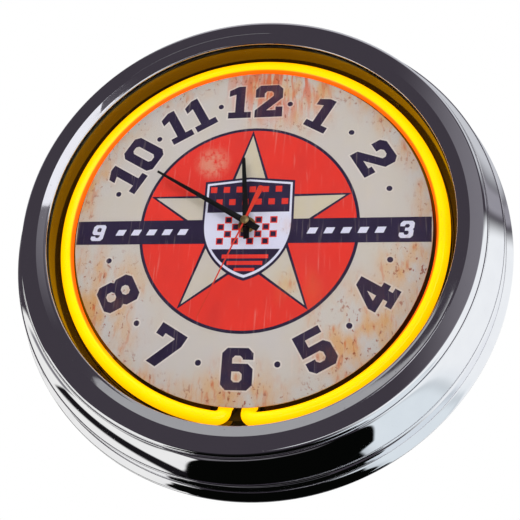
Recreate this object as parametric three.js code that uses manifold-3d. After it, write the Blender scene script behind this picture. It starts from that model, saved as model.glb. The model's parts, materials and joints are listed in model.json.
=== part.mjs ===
// Round advertising wall clock with a lit ring: a chromed rim, a glass front, a printed dial inside a
// yellow neon ring, a battery quartz movement, and a low-voltage power supply for the ring.
// Units are millimetres. +Z is up, the dial faces -Y, and +X is to the right of someone reading it.
// The origin is on the hand axis, in the plane of the wall behind the clock.
import * as THREE from "three";
import { mergeVertices } from "three/addons/utils/BufferGeometryUtils.js";
import Module from "manifold-3d";

const wasm = await Module();
wasm.setup();

// ---------------------------------------------------------------- driving dimensions
const RIM_R = 190; // outside of the rim where it meets the wall
const FACE_Y = -30; // printed face of the dial
const GAP = 0.3; // clearance left between neighbouring pieces
const ROUND = 40; // flats on a large turned piece
const SMALL_ROUND = 16; // flats on a small turned piece

const DIAL_R = 132;
const DIAL_T = 1.2;
const TUBE_RING_R = 139.5; // centre line of the neon ring
const TUBE_R = 4.8;
const TUBE_Y = FACE_Y + 3.2;
const TUBE_END_X = 8.65; // half the distance between the two tube ends
const TUBE_BEND_R = 6;
const TUBE_DIP = THREE.MathUtils.degToRad(40); // how steeply the ends turn back behind the dial
const TUBE_END_R = 128; // where the ends pass through the pan's floor
const TUBE_END_Y = -11.4;

const LIP_R = 146.4; // opening at the front of the rim
const LENS_R = 149;
const LENS_T = 2.5;
const LENS_FRONT = FACE_Y - 17.1;
const GASKET_T = 1.5;

const WALL_IN_R = 147.1; // inside of the pan's channel wall
const WALL_OUT_R = 149.6;
const WALL_FRONT = LENS_FRONT + LENS_T + GASKET_T + 2 * GAP;
const FLOOR_Y = FACE_Y + 12; // floor of the channel
const PAN_T = 2.5;
const PLATEAU_R = 118; // raised centre of the pan, which carries the dial
const PLATEAU_Y = FACE_Y + DIAL_T + GAP;
const PAN_R = 179.5;

const COVER_R = 181.5;
const COVER_T = 1.2;
const COVER_Y = -9; // inner face of the back cover
const SCREW_RING_R = 172;
const SCREW_COUNT = 6;
const POST_R = 4;

const CASE_HALF = 28; // half the width of the movement's case
const CASE_WALL = 1.4;
const CASE_FRONT = PLATEAU_Y + PAN_T + GAP;
const CASE_BACK = -12;
const BUSH_R = 3.9;
const HANGER_Z = 146; // height of the hanging plate above the hand axis

const MINUTE_HAND_DEG = 301.1; // clockwise from twelve
const HOUR_HAND_DEG = 354.5;
const SECOND_HAND_DEG = 201.7;

// Arbors of the movement, as places on its plate, and the distances that the gears set.
const TRAIN_CENTRE = 10.2; // hand axis to third wheel
const SECONDS_CENTRE = 7.2; // hand axis to intermediate wheel
const ROTOR_CENTRE = 6.3; // intermediate wheel to rotor
const MOTION_CENTRE = 8.4; // hand axis to minute wheel, and minute wheel to setting pinion
const at = (from, distance, degrees) => [
  from[0] + distance * Math.cos(THREE.MathUtils.degToRad(degrees)),
  from[1] + distance * Math.sin(THREE.MathUtils.degToRad(degrees)),
];
const HANDS_AT = [0, 0];
const THIRD_AT = at(HANDS_AT, TRAIN_CENTRE, 60);
const INTERMEDIATE_AT = at(HANDS_AT, SECONDS_CENTRE, 150);
const ROTOR_AT = at(INTERMEDIATE_AT, ROTOR_CENTRE, 150);
const MINUTE_WHEEL_AT = at(HANDS_AT, MOTION_CENTRE, -15);
const SETTING_AT = at(MINUTE_WHEEL_AT, MOTION_CENTRE, -15);

// ---------------------------------------------------------------- solids and booleans
function toManifold(geometry) {
  const bare = geometry.clone();
  bare.deleteAttribute("normal");
  bare.deleteAttribute("uv");
  const merged = mergeVertices(bare, 1e-4);
  const vertProperties = new Float32Array(merged.attributes.position.array);
  const triVerts = new Uint32Array(merged.index.array);
  return new wasm.Manifold(new wasm.Mesh({ numProp: 3, vertProperties, triVerts }));
}

function toGeometry(manifold) {
  const mesh = manifold.getMesh();
  const geometry = new THREE.BufferGeometry();
  const positions = new THREE.BufferAttribute(new Float32Array(mesh.vertProperties), 3);
  geometry.setAttribute("position", positions);
  geometry.setIndex(new THREE.BufferAttribute(new Uint32Array(mesh.triVerts), 1));
  const faceted = geometry.toNonIndexed();
  faceted.computeVertexNormals();
  return faceted;
}

const join = (first, ...others) =>
  toGeometry(others.reduce((whole, next) => whole.add(toManifold(next)), toManifold(first)));

const cut = (first, ...others) =>
  toGeometry(others.reduce((whole, next) => whole.subtract(toManifold(next)), toManifold(first)));

const common = (first, second) => toGeometry(toManifold(first).intersect(toManifold(second)));

// ---------------------------------------------------------------- basic shapes
// A piece turned about the hand axis from a closed outline of [radius, y] points.
function turned(outline, flats = ROUND) {
  const onAxis = outline[0][0] === 0;
  const loop = onAxis ? outline : [...outline, outline[0]];
  let area = 0;
  outline.forEach(([r, y], i) => {
    const [nextR, nextY] = outline[(i + 1) % outline.length];
    area += r * nextY - nextR * y;
  });
  const points = loop.map(([r, y]) => new THREE.Vector2(r, y));
  return new THREE.LatheGeometry(area > 0 ? points : points.reverse(), flats);
}

const ring = (inner, outer, front, back, flats) =>
  turned([[inner, front], [outer, front], [outer, back], [inner, back]], flats);

const disc = (radius, front, back, flats) =>
  turned([[0, front], [radius, front], [radius, back], [0, back]], flats);

// A round bar along Y at a place [x, z].
function bar([x, z], radius, front, back, flats = SMALL_ROUND) {
  const geometry = new THREE.CylinderGeometry(radius, radius, back - front, flats);
  return geometry.translate(x, (front + back) / 2, z);
}

function block([x0, x1], [y0, y1], [z0, z1]) {
  const geometry = new THREE.BoxGeometry(x1 - x0, y1 - y0, z1 - z0);
  return geometry.translate((x0 + x1) / 2, (y0 + y1) / 2, (z0 + z1) / 2);
}

// A flat plate: an outline in X and Z, from y = front to y = back.
function plate(shape, front, back, curveSegments = 8) {
  const options = { depth: back - front, bevelEnabled: false, curveSegments };
  return new THREE.ExtrudeGeometry(shape, options).rotateX(Math.PI / 2).translate(0, back, 0);
}

const outlineShape = (points) => new THREE.Shape(points.map(([x, z]) => new THREE.Vector2(x, z)));

function roundedRect(halfX, halfZ, radius, x = 0, z = 0) {
  const shape = new THREE.Shape();
  shape.moveTo(x - halfX + radius, z - halfZ);
  shape.lineTo(x + halfX - radius, z - halfZ);
  shape.absarc(x + halfX - radius, z - halfZ + radius, radius, -Math.PI / 2, 0);
  shape.absarc(x + halfX - radius, z + halfZ - radius, radius, 0, Math.PI / 2);
  shape.absarc(x - halfX + radius, z + halfZ - radius, radius, Math.PI / 2, Math.PI);
  shape.absarc(x - halfX + radius, z - halfZ + radius, radius, Math.PI, 1.5 * Math.PI);
  return shape;
}

// A wheel or pinion with pointed teeth. Its tips stop short of the pitch circle of its mate.
function toothed(place, teeth, tipR, toothDepth, front, back) {
  const points = [];
  for (let i = 0; i < teeth; i++) {
    const step = (2 * Math.PI) / teeth;
    points.push([tipR * Math.cos(i * step), tipR * Math.sin(i * step)]);
    const rootR = tipR - toothDepth;
    points.push([rootR * Math.cos((i + 0.5) * step), rootR * Math.sin((i + 0.5) * step)]);
  }
  return plate(outlineShape(points), front, back).translate(place[0], 0, place[1]);
}

// A path through given stations, which an extrusion visits one by one instead of at equal distances.
class StationPath extends THREE.Curve {
  constructor(stations) {
    super();
    this.stations = stations;
  }

  station(t) {
    return Math.round(t * (this.stations.length - 1));
  }

  getUtoTmapping(u) {
    return u;
  }

  getPoint(t) {
    return this.stations[this.station(t)].clone();
  }

  getTangent(t) {
    const i = this.station(t);
    const before = this.stations[Math.max(i - 1, 0)];
    const after = this.stations[Math.min(i + 1, this.stations.length - 1)];
    return after.clone().sub(before).normalize();
  }
}

// A round tube or wire through a list of stations.
function swept(stations, radius, sides) {
  const section = new THREE.Shape();
  section.absarc(0, 0, radius, 0, 2 * Math.PI);
  const extrudePath = new StationPath(stations);
  const steps = stations.length - 1;
  const options = { steps, curveSegments: sides / 2, extrudePath, bevelEnabled: false };
  return new THREE.ExtrudeGeometry(section, options);
}

// Stations round a bend of a given radius between two straight runs that meet at a corner.
function fillet(corner, before, after, radius, count) {
  const turn = before.angleTo(after);
  const start = corner.clone().addScaledVector(before, -radius * Math.tan(turn / 2));
  const axis = before.clone().cross(after).normalize();
  const centre = start.clone().addScaledVector(axis.clone().cross(before), radius);
  return Array.from({ length: count + 1 }, (_, i) =>
    start.clone().sub(centre).applyAxisAngle(axis, (turn * i) / count).add(centre),
  );
}

const around = (count, radius, offsetDeg = 0) =>
  Array.from({ length: count }, (_, i) => at([0, 0], radius, offsetDeg + (360 * i) / count));

// ---------------------------------------------------------------- finishes
const finish = (color, roughness, metalness = 0) => () =>
  new THREE.MeshStandardMaterial({ color, roughness, metalness });
const chrome = finish("#c9cbd2", 0.05, 1);
const blackPlastic = finish("#0c0b0a", 0.15);
const greyPlastic = finish("#2b2c2f", 0.5);
const printedBoard = finish("#c6bca9", 0.5);
const clearPlastic = finish("#d9dcd8", 0.2);
const blackRubber = finish("#151515", 0.8);
const handBlack = finish("#0b0b0c", 0.45, 0.3);
const handRed = finish("#d2321c", 0.4, 0.2);
const brass = finish("#b29a55", 0.25, 1);
const steel = finish("#9b9da1", 0.35, 1);
const copper = finish("#b0623a", 0.4, 1);
const whiteNylon = finish("#e6e3da", 0.45);
const circuitGreen = finish("#1f5a36", 0.5);

function piece(name, geometry, material) {
  const mesh = new THREE.Mesh(geometry, material());
  mesh.name = name;
  return mesh;
}

function assembly(...children) {
  const group = new THREE.Group();
  group.add(...children);
  return group;
}

// ---------------------------------------------------------------- rim, glass and back cover
const COVE_START = [166.6, -47.4];
const COVE_END = [180, -23.6];
// The side of the rim sweeps out to the wall in a shallow hollow curve.
function cove(count, inset = 0) {
  const points = [];
  for (let i = 1; i <= count; i++) {
    const t = i / (count + 1);
    const r = THREE.MathUtils.lerp(COVE_START[0], COVE_END[0], t ** 1.3);
    points.push([r - inset, THREE.MathUtils.lerp(COVE_START[1], COVE_END[1], t)]);
  }
  return points;
}

const rimOutside = [
  [LIP_R, -47.4],
  [LIP_R, -48.7],
  [153.5, -51],
  [162, -51.4],
  [164.6, -50.4],
  [165.5, -48.3],
  COVE_START,
  ...cove(2),
  COVE_END,
  [181.2, -23],
  [183.8, -7.4],
  [187.2, -4.6],
  [RIM_R, -1.2],
  [RIM_R, 0],
];

const rimInside = [
  [184.5, 0],
  [184.5, -1.4],
  [187.4, -1.7],
  [182.6, -6.4],
  [179.9, -21.6],
  [178.4, -23],
  ...cove(1, 1.7),
  [165, -46.4],
  [161.6, -50],
  [153.7, -49.6],
  [147.6, -47.4],
];

function rim() {
  const shell = turned([...rimOutside, ...rimInside]);
  const envelope = turned([[0, rimOutside[0][1]], ...rimOutside, [0, 0]]);
  const screwPlaces = around(SCREW_COUNT, SCREW_RING_R, 30);
  const postFront = -45;
  const postBack = FLOOR_Y - GAP;
  const pilotFront = -34;
  const posts = screwPlaces.map((p) => common(bar(p, POST_R, postFront, postBack, 10), envelope));
  const pilots = screwPlaces.map((p) => bar(p, 1.5, pilotFront, 0, 8));
  return piece("rim_shell", cut(join(shell, ...posts), ...pilots), chrome);
}

function glazing() {
  const lens = disc(LENS_R, LENS_FRONT, LENS_FRONT + LENS_T);
  const gasketFront = LENS_FRONT + LENS_T + GAP;
  const gasket = ring(WALL_IN_R, LENS_R, gasketFront, gasketFront + GASKET_T);
  return assembly(
    piece("glass_lens", lens, finish("#f2f5f5", 0.02)),
    piece("lens_gasket", gasket, blackRubber),
  );
}

const SLOT_COUNT = 5; // cooling slots on each side of the cover
const SLOT_PITCH = 9;
const INLET_AT = [70, -75];
const SWITCH_AT = [-70, -75];
const INLET_R = 5.5;
const SWITCH_BODY = [7.5, 9.5]; // half width and half height of the switch body

// The hanging hole: a round entry for the screw's head, with a slot above it for its shank.
function keyhole(headR, slotHalf, slotTop) {
  const shape = new THREE.Shape();
  const lean = Math.asin(slotHalf / headR);
  shape.absarc(0, 0, headR, Math.PI / 2 + lean, Math.PI / 2 - lean + 2 * Math.PI);
  shape.absarc(0, slotTop - slotHalf, slotHalf, 0, Math.PI);
  return shape;
}

// A round outline of straight flats.
const round = (radius, place = HANDS_AT, flats = 12) =>
  outlineShape(Array.from({ length: flats }, (_, i) => at(place, radius, (360 * i) / flats)));

const withHoles = (shape, holes) => {
  shape.holes = holes;
  return shape;
};

function backCover() {
  const front = COVER_Y;
  const back = COVER_Y + COVER_T;
  const windowHalf = CASE_HALF + 2;
  const switchHole = SWITCH_BODY.map((half) => half + 0.4);
  const holes = [
    roundedRect(windowHalf, windowHalf, 2),
    round(INLET_R + 0.5, INLET_AT, 16),
    roundedRect(...switchHole, 0.5, ...SWITCH_AT),
    roundedRect(8, 13, 3, 0, HANGER_Z + 2),
    ...around(SCREW_COUNT, SCREW_RING_R, 30).map((p) => round(1.9, p)),
  ];
  for (let i = 0; i < SLOT_COUNT; i++) {
    const z = (i - (SLOT_COUNT - 1) / 2) * SLOT_PITCH;
    holes.push(roundedRect(22, 1.75, 1.7, -95, z), roundedRect(22, 1.75, 1.7, 95, z));
  }
  const sheet = plate(withHoles(round(COVER_R, HANDS_AT, ROUND), holes), front, back, 1);
  const cover = piece("back_cover", sheet, finish("#1b1c1e", 0.55, 0.4));

  const hangerFront = back + GAP;
  const hangerOutline = withHoles(roundedRect(22, 19, 5, 0, 4), [keyhole(5.5, 2.75, 15)]);
  const hanger = plate(hangerOutline, hangerFront, hangerFront + 1.5, 5);
  hanger.translate(0, 0, HANGER_Z - 4);
  return assembly(cover, piece("keyhole_hanger", hanger, steel));
}

function coverScrews() {
  const screws = around(SCREW_COUNT, SCREW_RING_R, 30).map((p, i) => {
    const headFront = COVER_Y + COVER_T + GAP;
    const shank = bar(p, 1.1, -31, headFront + 0.5, 8);
    const head = bar(p, 3, headFront, headFront + 1.9, 12);
    const slot = block([p[0] - 4, p[0] + 4], [headFront + 1, headFront + 3], [p[1] - 0.4, p[1] + 0.4]);
    return piece(`cover_screw_${i + 1}`, cut(join(head, shank), slot), steel);
  });
  return assembly(...screws);
}

// ---------------------------------------------------------------- channel pan and dial
function channelPan() {
  const inner = PLATEAU_R - PAN_T;
  const floorBack = FLOOR_Y + PAN_T;
  const body = turned([
    [BUSH_R + GAP, PLATEAU_Y],
    [PLATEAU_R, PLATEAU_Y],
    [PLATEAU_R, FLOOR_Y],
    [WALL_IN_R, FLOOR_Y],
    [WALL_IN_R, WALL_FRONT],
    [WALL_OUT_R, WALL_FRONT],
    [WALL_OUT_R, FLOOR_Y],
    [PAN_R - 2.5, FLOOR_Y],
    [PAN_R - 2.5, FLOOR_Y - 3.4],
    [PAN_R, FLOOR_Y - 3.4],
    [PAN_R, floorBack],
    [inner, floorBack],
    [inner, PLATEAU_Y + PAN_T],
    [BUSH_R + GAP, PLATEAU_Y + PAN_T],
  ]);
  const screwPlaces = around(SCREW_COUNT, SCREW_RING_R, 30);
  const spacers = screwPlaces.map((p) => bar(p, POST_R, floorBack - 1, COVER_Y - GAP, 12));
  const screwHoles = screwPlaces.map((p) => bar(p, 1.9, FLOOR_Y - 5, 0, 8));
  const tubeOpening = block([-19, 19], [FLOOR_Y - 1, floorBack + 1], [-139, -PLATEAU_R - 1]);
  return piece("channel_pan", cut(join(body, ...spacers), tubeOpening, ...screwHoles), blackPlastic);
}

function dial() {
  const board = ring(BUSH_R + GAP, DIAL_R, FACE_Y, FACE_Y + DIAL_T);
  return piece("dial", board, printedBoard);
}

// ---------------------------------------------------------------- neon ring and its supply
// The right-hand end of the tube turns in from the ring, dips behind the dial and ends pointing back.
function tubeEnd(halfGap) {
  const along = new THREE.Vector3(-Math.cos(halfGap), 0, -Math.sin(halfGap));
  const dip = new THREE.Vector3(0, Math.sin(TUBE_DIP), Math.cos(TUBE_DIP));
  const back = new THREE.Vector3(0, 1, 0);
  const ringEnd = new THREE.Vector3(Math.sin(halfGap), 0, -Math.cos(halfGap));
  ringEnd.multiplyScalar(TUBE_RING_R).setY(TUBE_Y);
  const reach = TUBE_BEND_R * Math.tan(along.angleTo(dip) / 2);
  const firstCorner = ringEnd.clone().addScaledVector(along, reach);
  const drop = (TUBE_END_R + firstCorner.z) / Math.cos(TUBE_DIP);
  const secondCorner = firstCorner.clone().addScaledVector(dip, -drop);
  const tip = new THREE.Vector3(secondCorner.x, TUBE_END_Y, secondCorner.z);
  const intoDip = fillet(firstCorner, along, dip, TUBE_BEND_R, 5);
  const intoBack = fillet(secondCorner, dip, back, TUBE_BEND_R, 3);
  return [...intoDip, ...intoBack, tip];
}

function neonTube() {
  const halfGap = Math.asin((TUBE_END_X + TUBE_BEND_R) / TUBE_RING_R);
  const rightEnd = tubeEnd(halfGap);
  const leftEnd = rightEnd.map((p) => new THREE.Vector3(-p.x, p.y, p.z)).reverse();
  const arcSteps = 52;
  const arc = [];
  for (let i = 1; i < arcSteps; i++) {
    const angle = Math.PI + halfGap + ((2 * Math.PI - 2 * halfGap) * i) / arcSteps;
    arc.push(new THREE.Vector3(Math.sin(angle), 0, Math.cos(angle)));
    arc.at(-1).multiplyScalar(TUBE_RING_R).setY(TUBE_Y);
  }
  const tube = swept([...leftEnd, ...arc, ...rightEnd], TUBE_R, 8);
  return piece("neon_tube", tube, finish("#ffd800", 0.3));
}

// Saddles that hold the tube off the floor of the channel.
function tubeClips() {
  const clips = around(4, TUBE_RING_R, 45).map(([x, z], i) => {
    const saddle = block([-5, 5], [TUBE_Y + 1.5, FLOOR_Y - GAP], [-3, 3]);
    const groove = new THREE.CylinderGeometry(TUBE_R + GAP, TUBE_R + GAP, 12, 20);
    const clip = cut(saddle, groove.rotateX(Math.PI / 2).translate(0, TUBE_Y, 0));
    clip.rotateY(Math.atan2(z, -x) + Math.PI).translate(x, 0, z);
    return piece(`tube_clip_${i + 1}`, clip, clearPlastic);
  });
  return assembly(...clips);
}

const SUPPLY = { x: 46, top: -56, bottom: -96, front: -25.2, back: -11.6, wall: 1.6 };
const BOOT = { radius: 6.6, front: -13.6, back: COVER_Y - GAP };
const LEAD_Y = -12.4;
const LEAD_GAP = 0.6; // clearance at the two ends of a lead

// Rubber boots insulate the tube's electrodes, and a lead runs from each to the supply.
function electrodes() {
  const endX = tubeEnd(Math.asin((TUBE_END_X + TUBE_BEND_R) / TUBE_RING_R)).at(-1).x;
  const pieces = [];
  for (const [side, name] of [[-1, "left"], [1, "right"]]) {
    const place = [side * endX, -TUBE_END_R];
    const sleeve = bar(place, BOOT.radius, BOOT.front, BOOT.back);
    const tubeSpace = bar(place, TUBE_R + GAP, BOOT.front - 1, TUBE_END_Y + GAP);
    pieces.push(piece(`electrode_boot_${name}`, cut(sleeve, tubeSpace), blackRubber));
    const start = new THREE.Vector3(place[0], LEAD_Y, -TUBE_END_R + BOOT.radius + LEAD_GAP);
    const end = new THREE.Vector3(side * 30, LEAD_Y - 3, SUPPLY.bottom - LEAD_GAP);
    const curve = new THREE.CubicBezierCurve3(
      start,
      start.clone().setZ(start.z + 12),
      end.clone().setZ(end.z - 12),
      end,
    );
    pieces.push(piece(`high_voltage_lead_${name}`, swept(curve.getPoints(8), 1.6, 8), whiteNylon));
  }
  return assembly(...pieces);
}

function powerSupply() {
  const { x, top, bottom, front, back, wall } = SUPPLY;
  const tray = cut(
    block([-x, x], [front, back], [bottom, top]),
    block([-x + wall, x - wall], [front + wall, back + 1], [bottom + wall, top - wall]),
  );
  const inside = wall + GAP;
  const boardFront = front + wall + 2;
  const board = block(
    [-x + inside, x - inside],
    [boardFront, boardFront + 1.4],
    [bottom + inside, top - inside],
  );
  const partsFront = boardFront + 1.4 + GAP;
  const transformer = join(
    block([-30, -12], [partsFront, back - 1], [-86, -66]),
    block([-26, -16], [partsFront + 1, back - 2], [-89, -63]),
  );
  const capacitor = bar([14, -76], 5, partsFront, back - 1);
  const transistor = block([26, 34], [partsFront, partsFront + 5], [-82, -70]);
  return assembly(
    piece("supply_tray", tray, greyPlastic),
    piece("supply_lid", block([-x, x], [back + GAP, back + 1.5], [bottom, top]), greyPlastic),
    piece("supply_board", board, circuitGreen),
    piece("step_up_transformer", transformer, finish("#c9a23c", 0.5)),
    piece("supply_capacitor", capacitor, finish("#22304e", 0.4)),
    piece("supply_transistor", transistor, blackPlastic),
  );
}

// A socket for the low-voltage plug, clamped through the cover by its nut.
function inlet() {
  const flangeBack = COVER_Y + COVER_T + GAP + 1.3;
  const barrelFront = -20;
  const barrel = bar(INLET_AT, INLET_R, barrelFront, flangeBack, 20);
  const flange = bar(INLET_AT, INLET_R + 1.8, flangeBack - 1.3, flangeBack, 20);
  const bore = bar(INLET_AT, 3.2, barrelFront + 2, flangeBack + 1, 20);
  const nutBack = COVER_Y - GAP;
  const nut = cut(
    bar(INLET_AT, 8, nutBack - 2.2, nutBack, 6),
    bar(INLET_AT, INLET_R + GAP, nutBack - 3, nutBack + 1, 20),
  );
  return assembly(
    piece("power_inlet", cut(join(barrel, flange), bore), blackPlastic),
    piece("inlet_nut", nut, steel),
  );
}

// Leads that join the supply to the inlet and to the switch.
function lowVoltageLeads() {
  const leads = [[INLET_AT, "inlet_lead", -20], [SWITCH_AT, "switch_lead", -19]];
  return assembly(
    ...leads.map(([[x, z], name, socketFront]) => {
      const side = Math.sign(x);
      const start = socketFront - LEAD_GAP;
      const curve = new THREE.CubicBezierCurve3(
        new THREE.Vector3(x, start, z),
        new THREE.Vector3(x, start - 5, z),
        new THREE.Vector3(side * (SUPPLY.x + 12), -20, z),
        new THREE.Vector3(side * (SUPPLY.x + LEAD_GAP), -18, z),
      );
      return piece(name, swept(curve.getPoints(8), 1.3, 8), blackRubber);
    }),
  );
}

const ROCKER_R = 6;
const ROCKER_Y = -9.4; // pivot line of the rocker
const ROCKER_TILT = THREE.MathUtils.degToRad(10);

// A rocker switch beside the supply. The rocker turns about a line along X and rests tipped to ON.
function rockerSwitch() {
  const [x, z] = SWITCH_AT;
  const [halfX, halfZ] = SWITCH_BODY;
  const flangeFront = COVER_Y + COVER_T + GAP;
  const flangeBack = flangeFront + 1;
  const along = (radius, half) =>
    new THREE.CylinderGeometry(radius, radius, 2 * half, 24).rotateZ(Math.PI / 2);
  const body = join(
    block([x - halfX, x + halfX], [-19, flangeBack], [z - halfZ, z + halfZ]),
    block([x - halfX - 2, x + halfX + 2], [flangeFront, flangeBack], [z - halfZ - 2, z + halfZ + 2]),
  );
  const well = along(ROCKER_R + GAP, 5.3).translate(x, ROCKER_Y, z);
  const rockerDepth = 3.4;
  const rise = new THREE.Shape();
  rise.moveTo(-ROCKER_R, -ROCKER_R);
  rise.lineTo(ROCKER_R, -ROCKER_R);
  rise.lineTo(ROCKER_R, rockerDepth);
  rise.lineTo(0, rockerDepth - 1.1);
  rise.lineTo(-ROCKER_R, rockerDepth);
  const options = { depth: 12, bevelEnabled: false };
  const veeTop = new THREE.ExtrudeGeometry(rise, options).translate(0, 0, -6).rotateY(Math.PI / 2);
  const rocker = common(along(ROCKER_R, 5), veeTop);
  rocker.rotateX(ROCKER_TILT).translate(x, ROCKER_Y, z);
  return assembly(
    piece("switch_body", cut(body, well), blackPlastic),
    piece("switch_rocker", rocker, finish("#a3221c", 0.35)),
  );
}

// ---------------------------------------------------------------- quartz movement
const HOUR_PIPE = [1.85, 2.4]; // inner and outer radius
const MINUTE_PIPE = [0.95, 1.5];
const SECONDS_ARBOR_R = 0.55;
const PIPE_END = { hour: FACE_Y - 5.6, minute: FACE_Y - 7.5, seconds: FACE_Y - 8.9 };

function movementCase() {
  const h = CASE_HALF;
  const inside = h - CASE_WALL;
  const shell = plate(roundedRect(h, h, 3), CASE_FRONT, CASE_BACK, 3);
  const cavityFront = CASE_FRONT + CASE_WALL;
  const bushing = bar(HANDS_AT, BUSH_R, FACE_Y - 3.8, CASE_FRONT + 0.5, 24);
  const bore = bar(HANDS_AT, HOUR_PIPE[1] + 0.4, FACE_Y - 5, cavityFront + 1, 24);
  const batteryWall = [-11.4, -10.4];
  const gearRoom = block([-inside, inside], [cavityFront, 0], [batteryWall[1], inside]);
  const batteryRoom = block([-inside, inside], [cavityFront, 0], [-inside, batteryWall[0]]);
  const front = cut(join(shell, bushing), bore, gearRoom, batteryRoom);

  const plateFront = CASE_BACK + GAP;
  const plateBack = plateFront + 1.3;
  const through = [plateFront - 1, plateBack + 1];
  const back = cut(
    plate(roundedRect(h, h, 3), plateFront, plateBack, 3),
    block([-inside, inside], through, [-inside, batteryWall[0]]),
    bar(SETTING_AT, 1.2, ...through, 12),
  );
  return assembly(
    piece("movement_case", front, blackPlastic),
    piece("movement_back", back, blackPlastic),
  );
}

function dialFixings() {
  const washerFront = FACE_Y - GAP - 0.6;
  const washer = ring(BUSH_R + GAP, 6.4, washerFront, FACE_Y - GAP, 24);
  const nutBack = washerFront - GAP;
  const hexagon = new THREE.CylinderGeometry(5.6, 5.6, 2, 6).translate(0, nutBack - 1, 0);
  const nut = cut(hexagon, disc(BUSH_R + GAP, nutBack - 3, nutBack + 1, 24));
  return assembly(piece("dial_washer", washer, brass), piece("bushing_nut", nut, brass));
}

function battery() {
  const cell = new THREE.CylinderGeometry(7, 7, 47, 20);
  const button = new THREE.CylinderGeometry(2.7, 2.7, 2, 12).translate(0, 24, 0);
  const lying = join(cell, button).rotateZ(-Math.PI / 2).translate(-0.8, -16.6, -19);
  const contactY = [-21, -12.4];
  return assembly(
    piece("battery_cell", lying, finish("#b8862b", 0.35, 0.5)),
    piece("battery_contact_plus", block([25.1, 25.6], contactY, [-23, -15]), steel),
    piece(
      "battery_contact_minus",
      join(
        block([-26.2, -25.8], contactY, [-23, -15]),
        new THREE.ConeGeometry(3.4, 1.3, 12).rotateZ(-Math.PI / 2).translate(-25.2, -16.6, -19),
      ),
      steel,
    ),
  );
}

const STATOR_Y = [-17.8, -16.8];

function motor() {
  const [x, z] = ROTOR_AT;
  const core = block([-15, 15], STATOR_Y, [22.1, 23.5]);
  const stator = cut(
    join(
      bar(ROTOR_AT, 4.7, ...STATOR_Y, 20),
      block([x - 3, x + 1], STATOR_Y, [z + 2, 23.5]),
      block([x - 2, 15], STATOR_Y, [15.6, 17.6]),
      block([12.4, 15], STATOR_Y, [15.6, 23.5]),
      block([x - 1, x + 4], STATOR_Y, [z + 2, 16]),
      core,
    ),
    bar(ROTOR_AT, 3.3, STATOR_Y[0] - 1, STATOR_Y[1] + 1, 20),
    block([x + 1.4, x + 2], [STATOR_Y[0] - 1, STATOR_Y[1] + 1], [z + 2.6, 30]),
  );
  const rotor = join(
    bar(ROTOR_AT, 2.8, -18.5, -16.2),
    bar(ROTOR_AT, 0.5, -20, -12.2, 8),
    toothed(ROTOR_AT, 6, 1.05 - GAP / 2, 0.25, -16, -15),
  );
  const coilY = [-20.9, -13.7];
  const coil = cut(
    join(
      block([-9, 9], [coilY[0] + 0.4, coilY[1] - 0.4], [19.6, 26]),
      block([-10, -9], coilY, [19.2, 26.4]),
      block([9, 10], coilY, [19.2, 26.4]),
    ),
    block([-12, 12], [STATOR_Y[0] - GAP, STATOR_Y[1] + GAP], [21.8, 23.8]),
  );
  return assembly(
    piece("motor_stator", stator, steel),
    piece("motor_rotor", rotor, finish("#3a3b3e", 0.5, 0.6)),
    piece("motor_coil", coil, copper),
  );
}

function electronics() {
  const board = block([16, 26], [-13.8, -12.8], [1, 26]);
  const crystal = new THREE.CylinderGeometry(1.4, 1.4, 6, 12).rotateX(Math.PI / 2);
  return assembly(
    piece("circuit_board", board, circuitGreen),
    piece("quartz_crystal", crystal.translate(21, -15.6, 12), steel),
  );
}

// Half the clearance is taken from each wheel of a meshing pair, so that no tips ever touch.
const tip = (centreDistance, teeth, mateTeeth) =>
  (centreDistance * teeth) / (teeth + mateTeeth) - GAP / 2;

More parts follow.
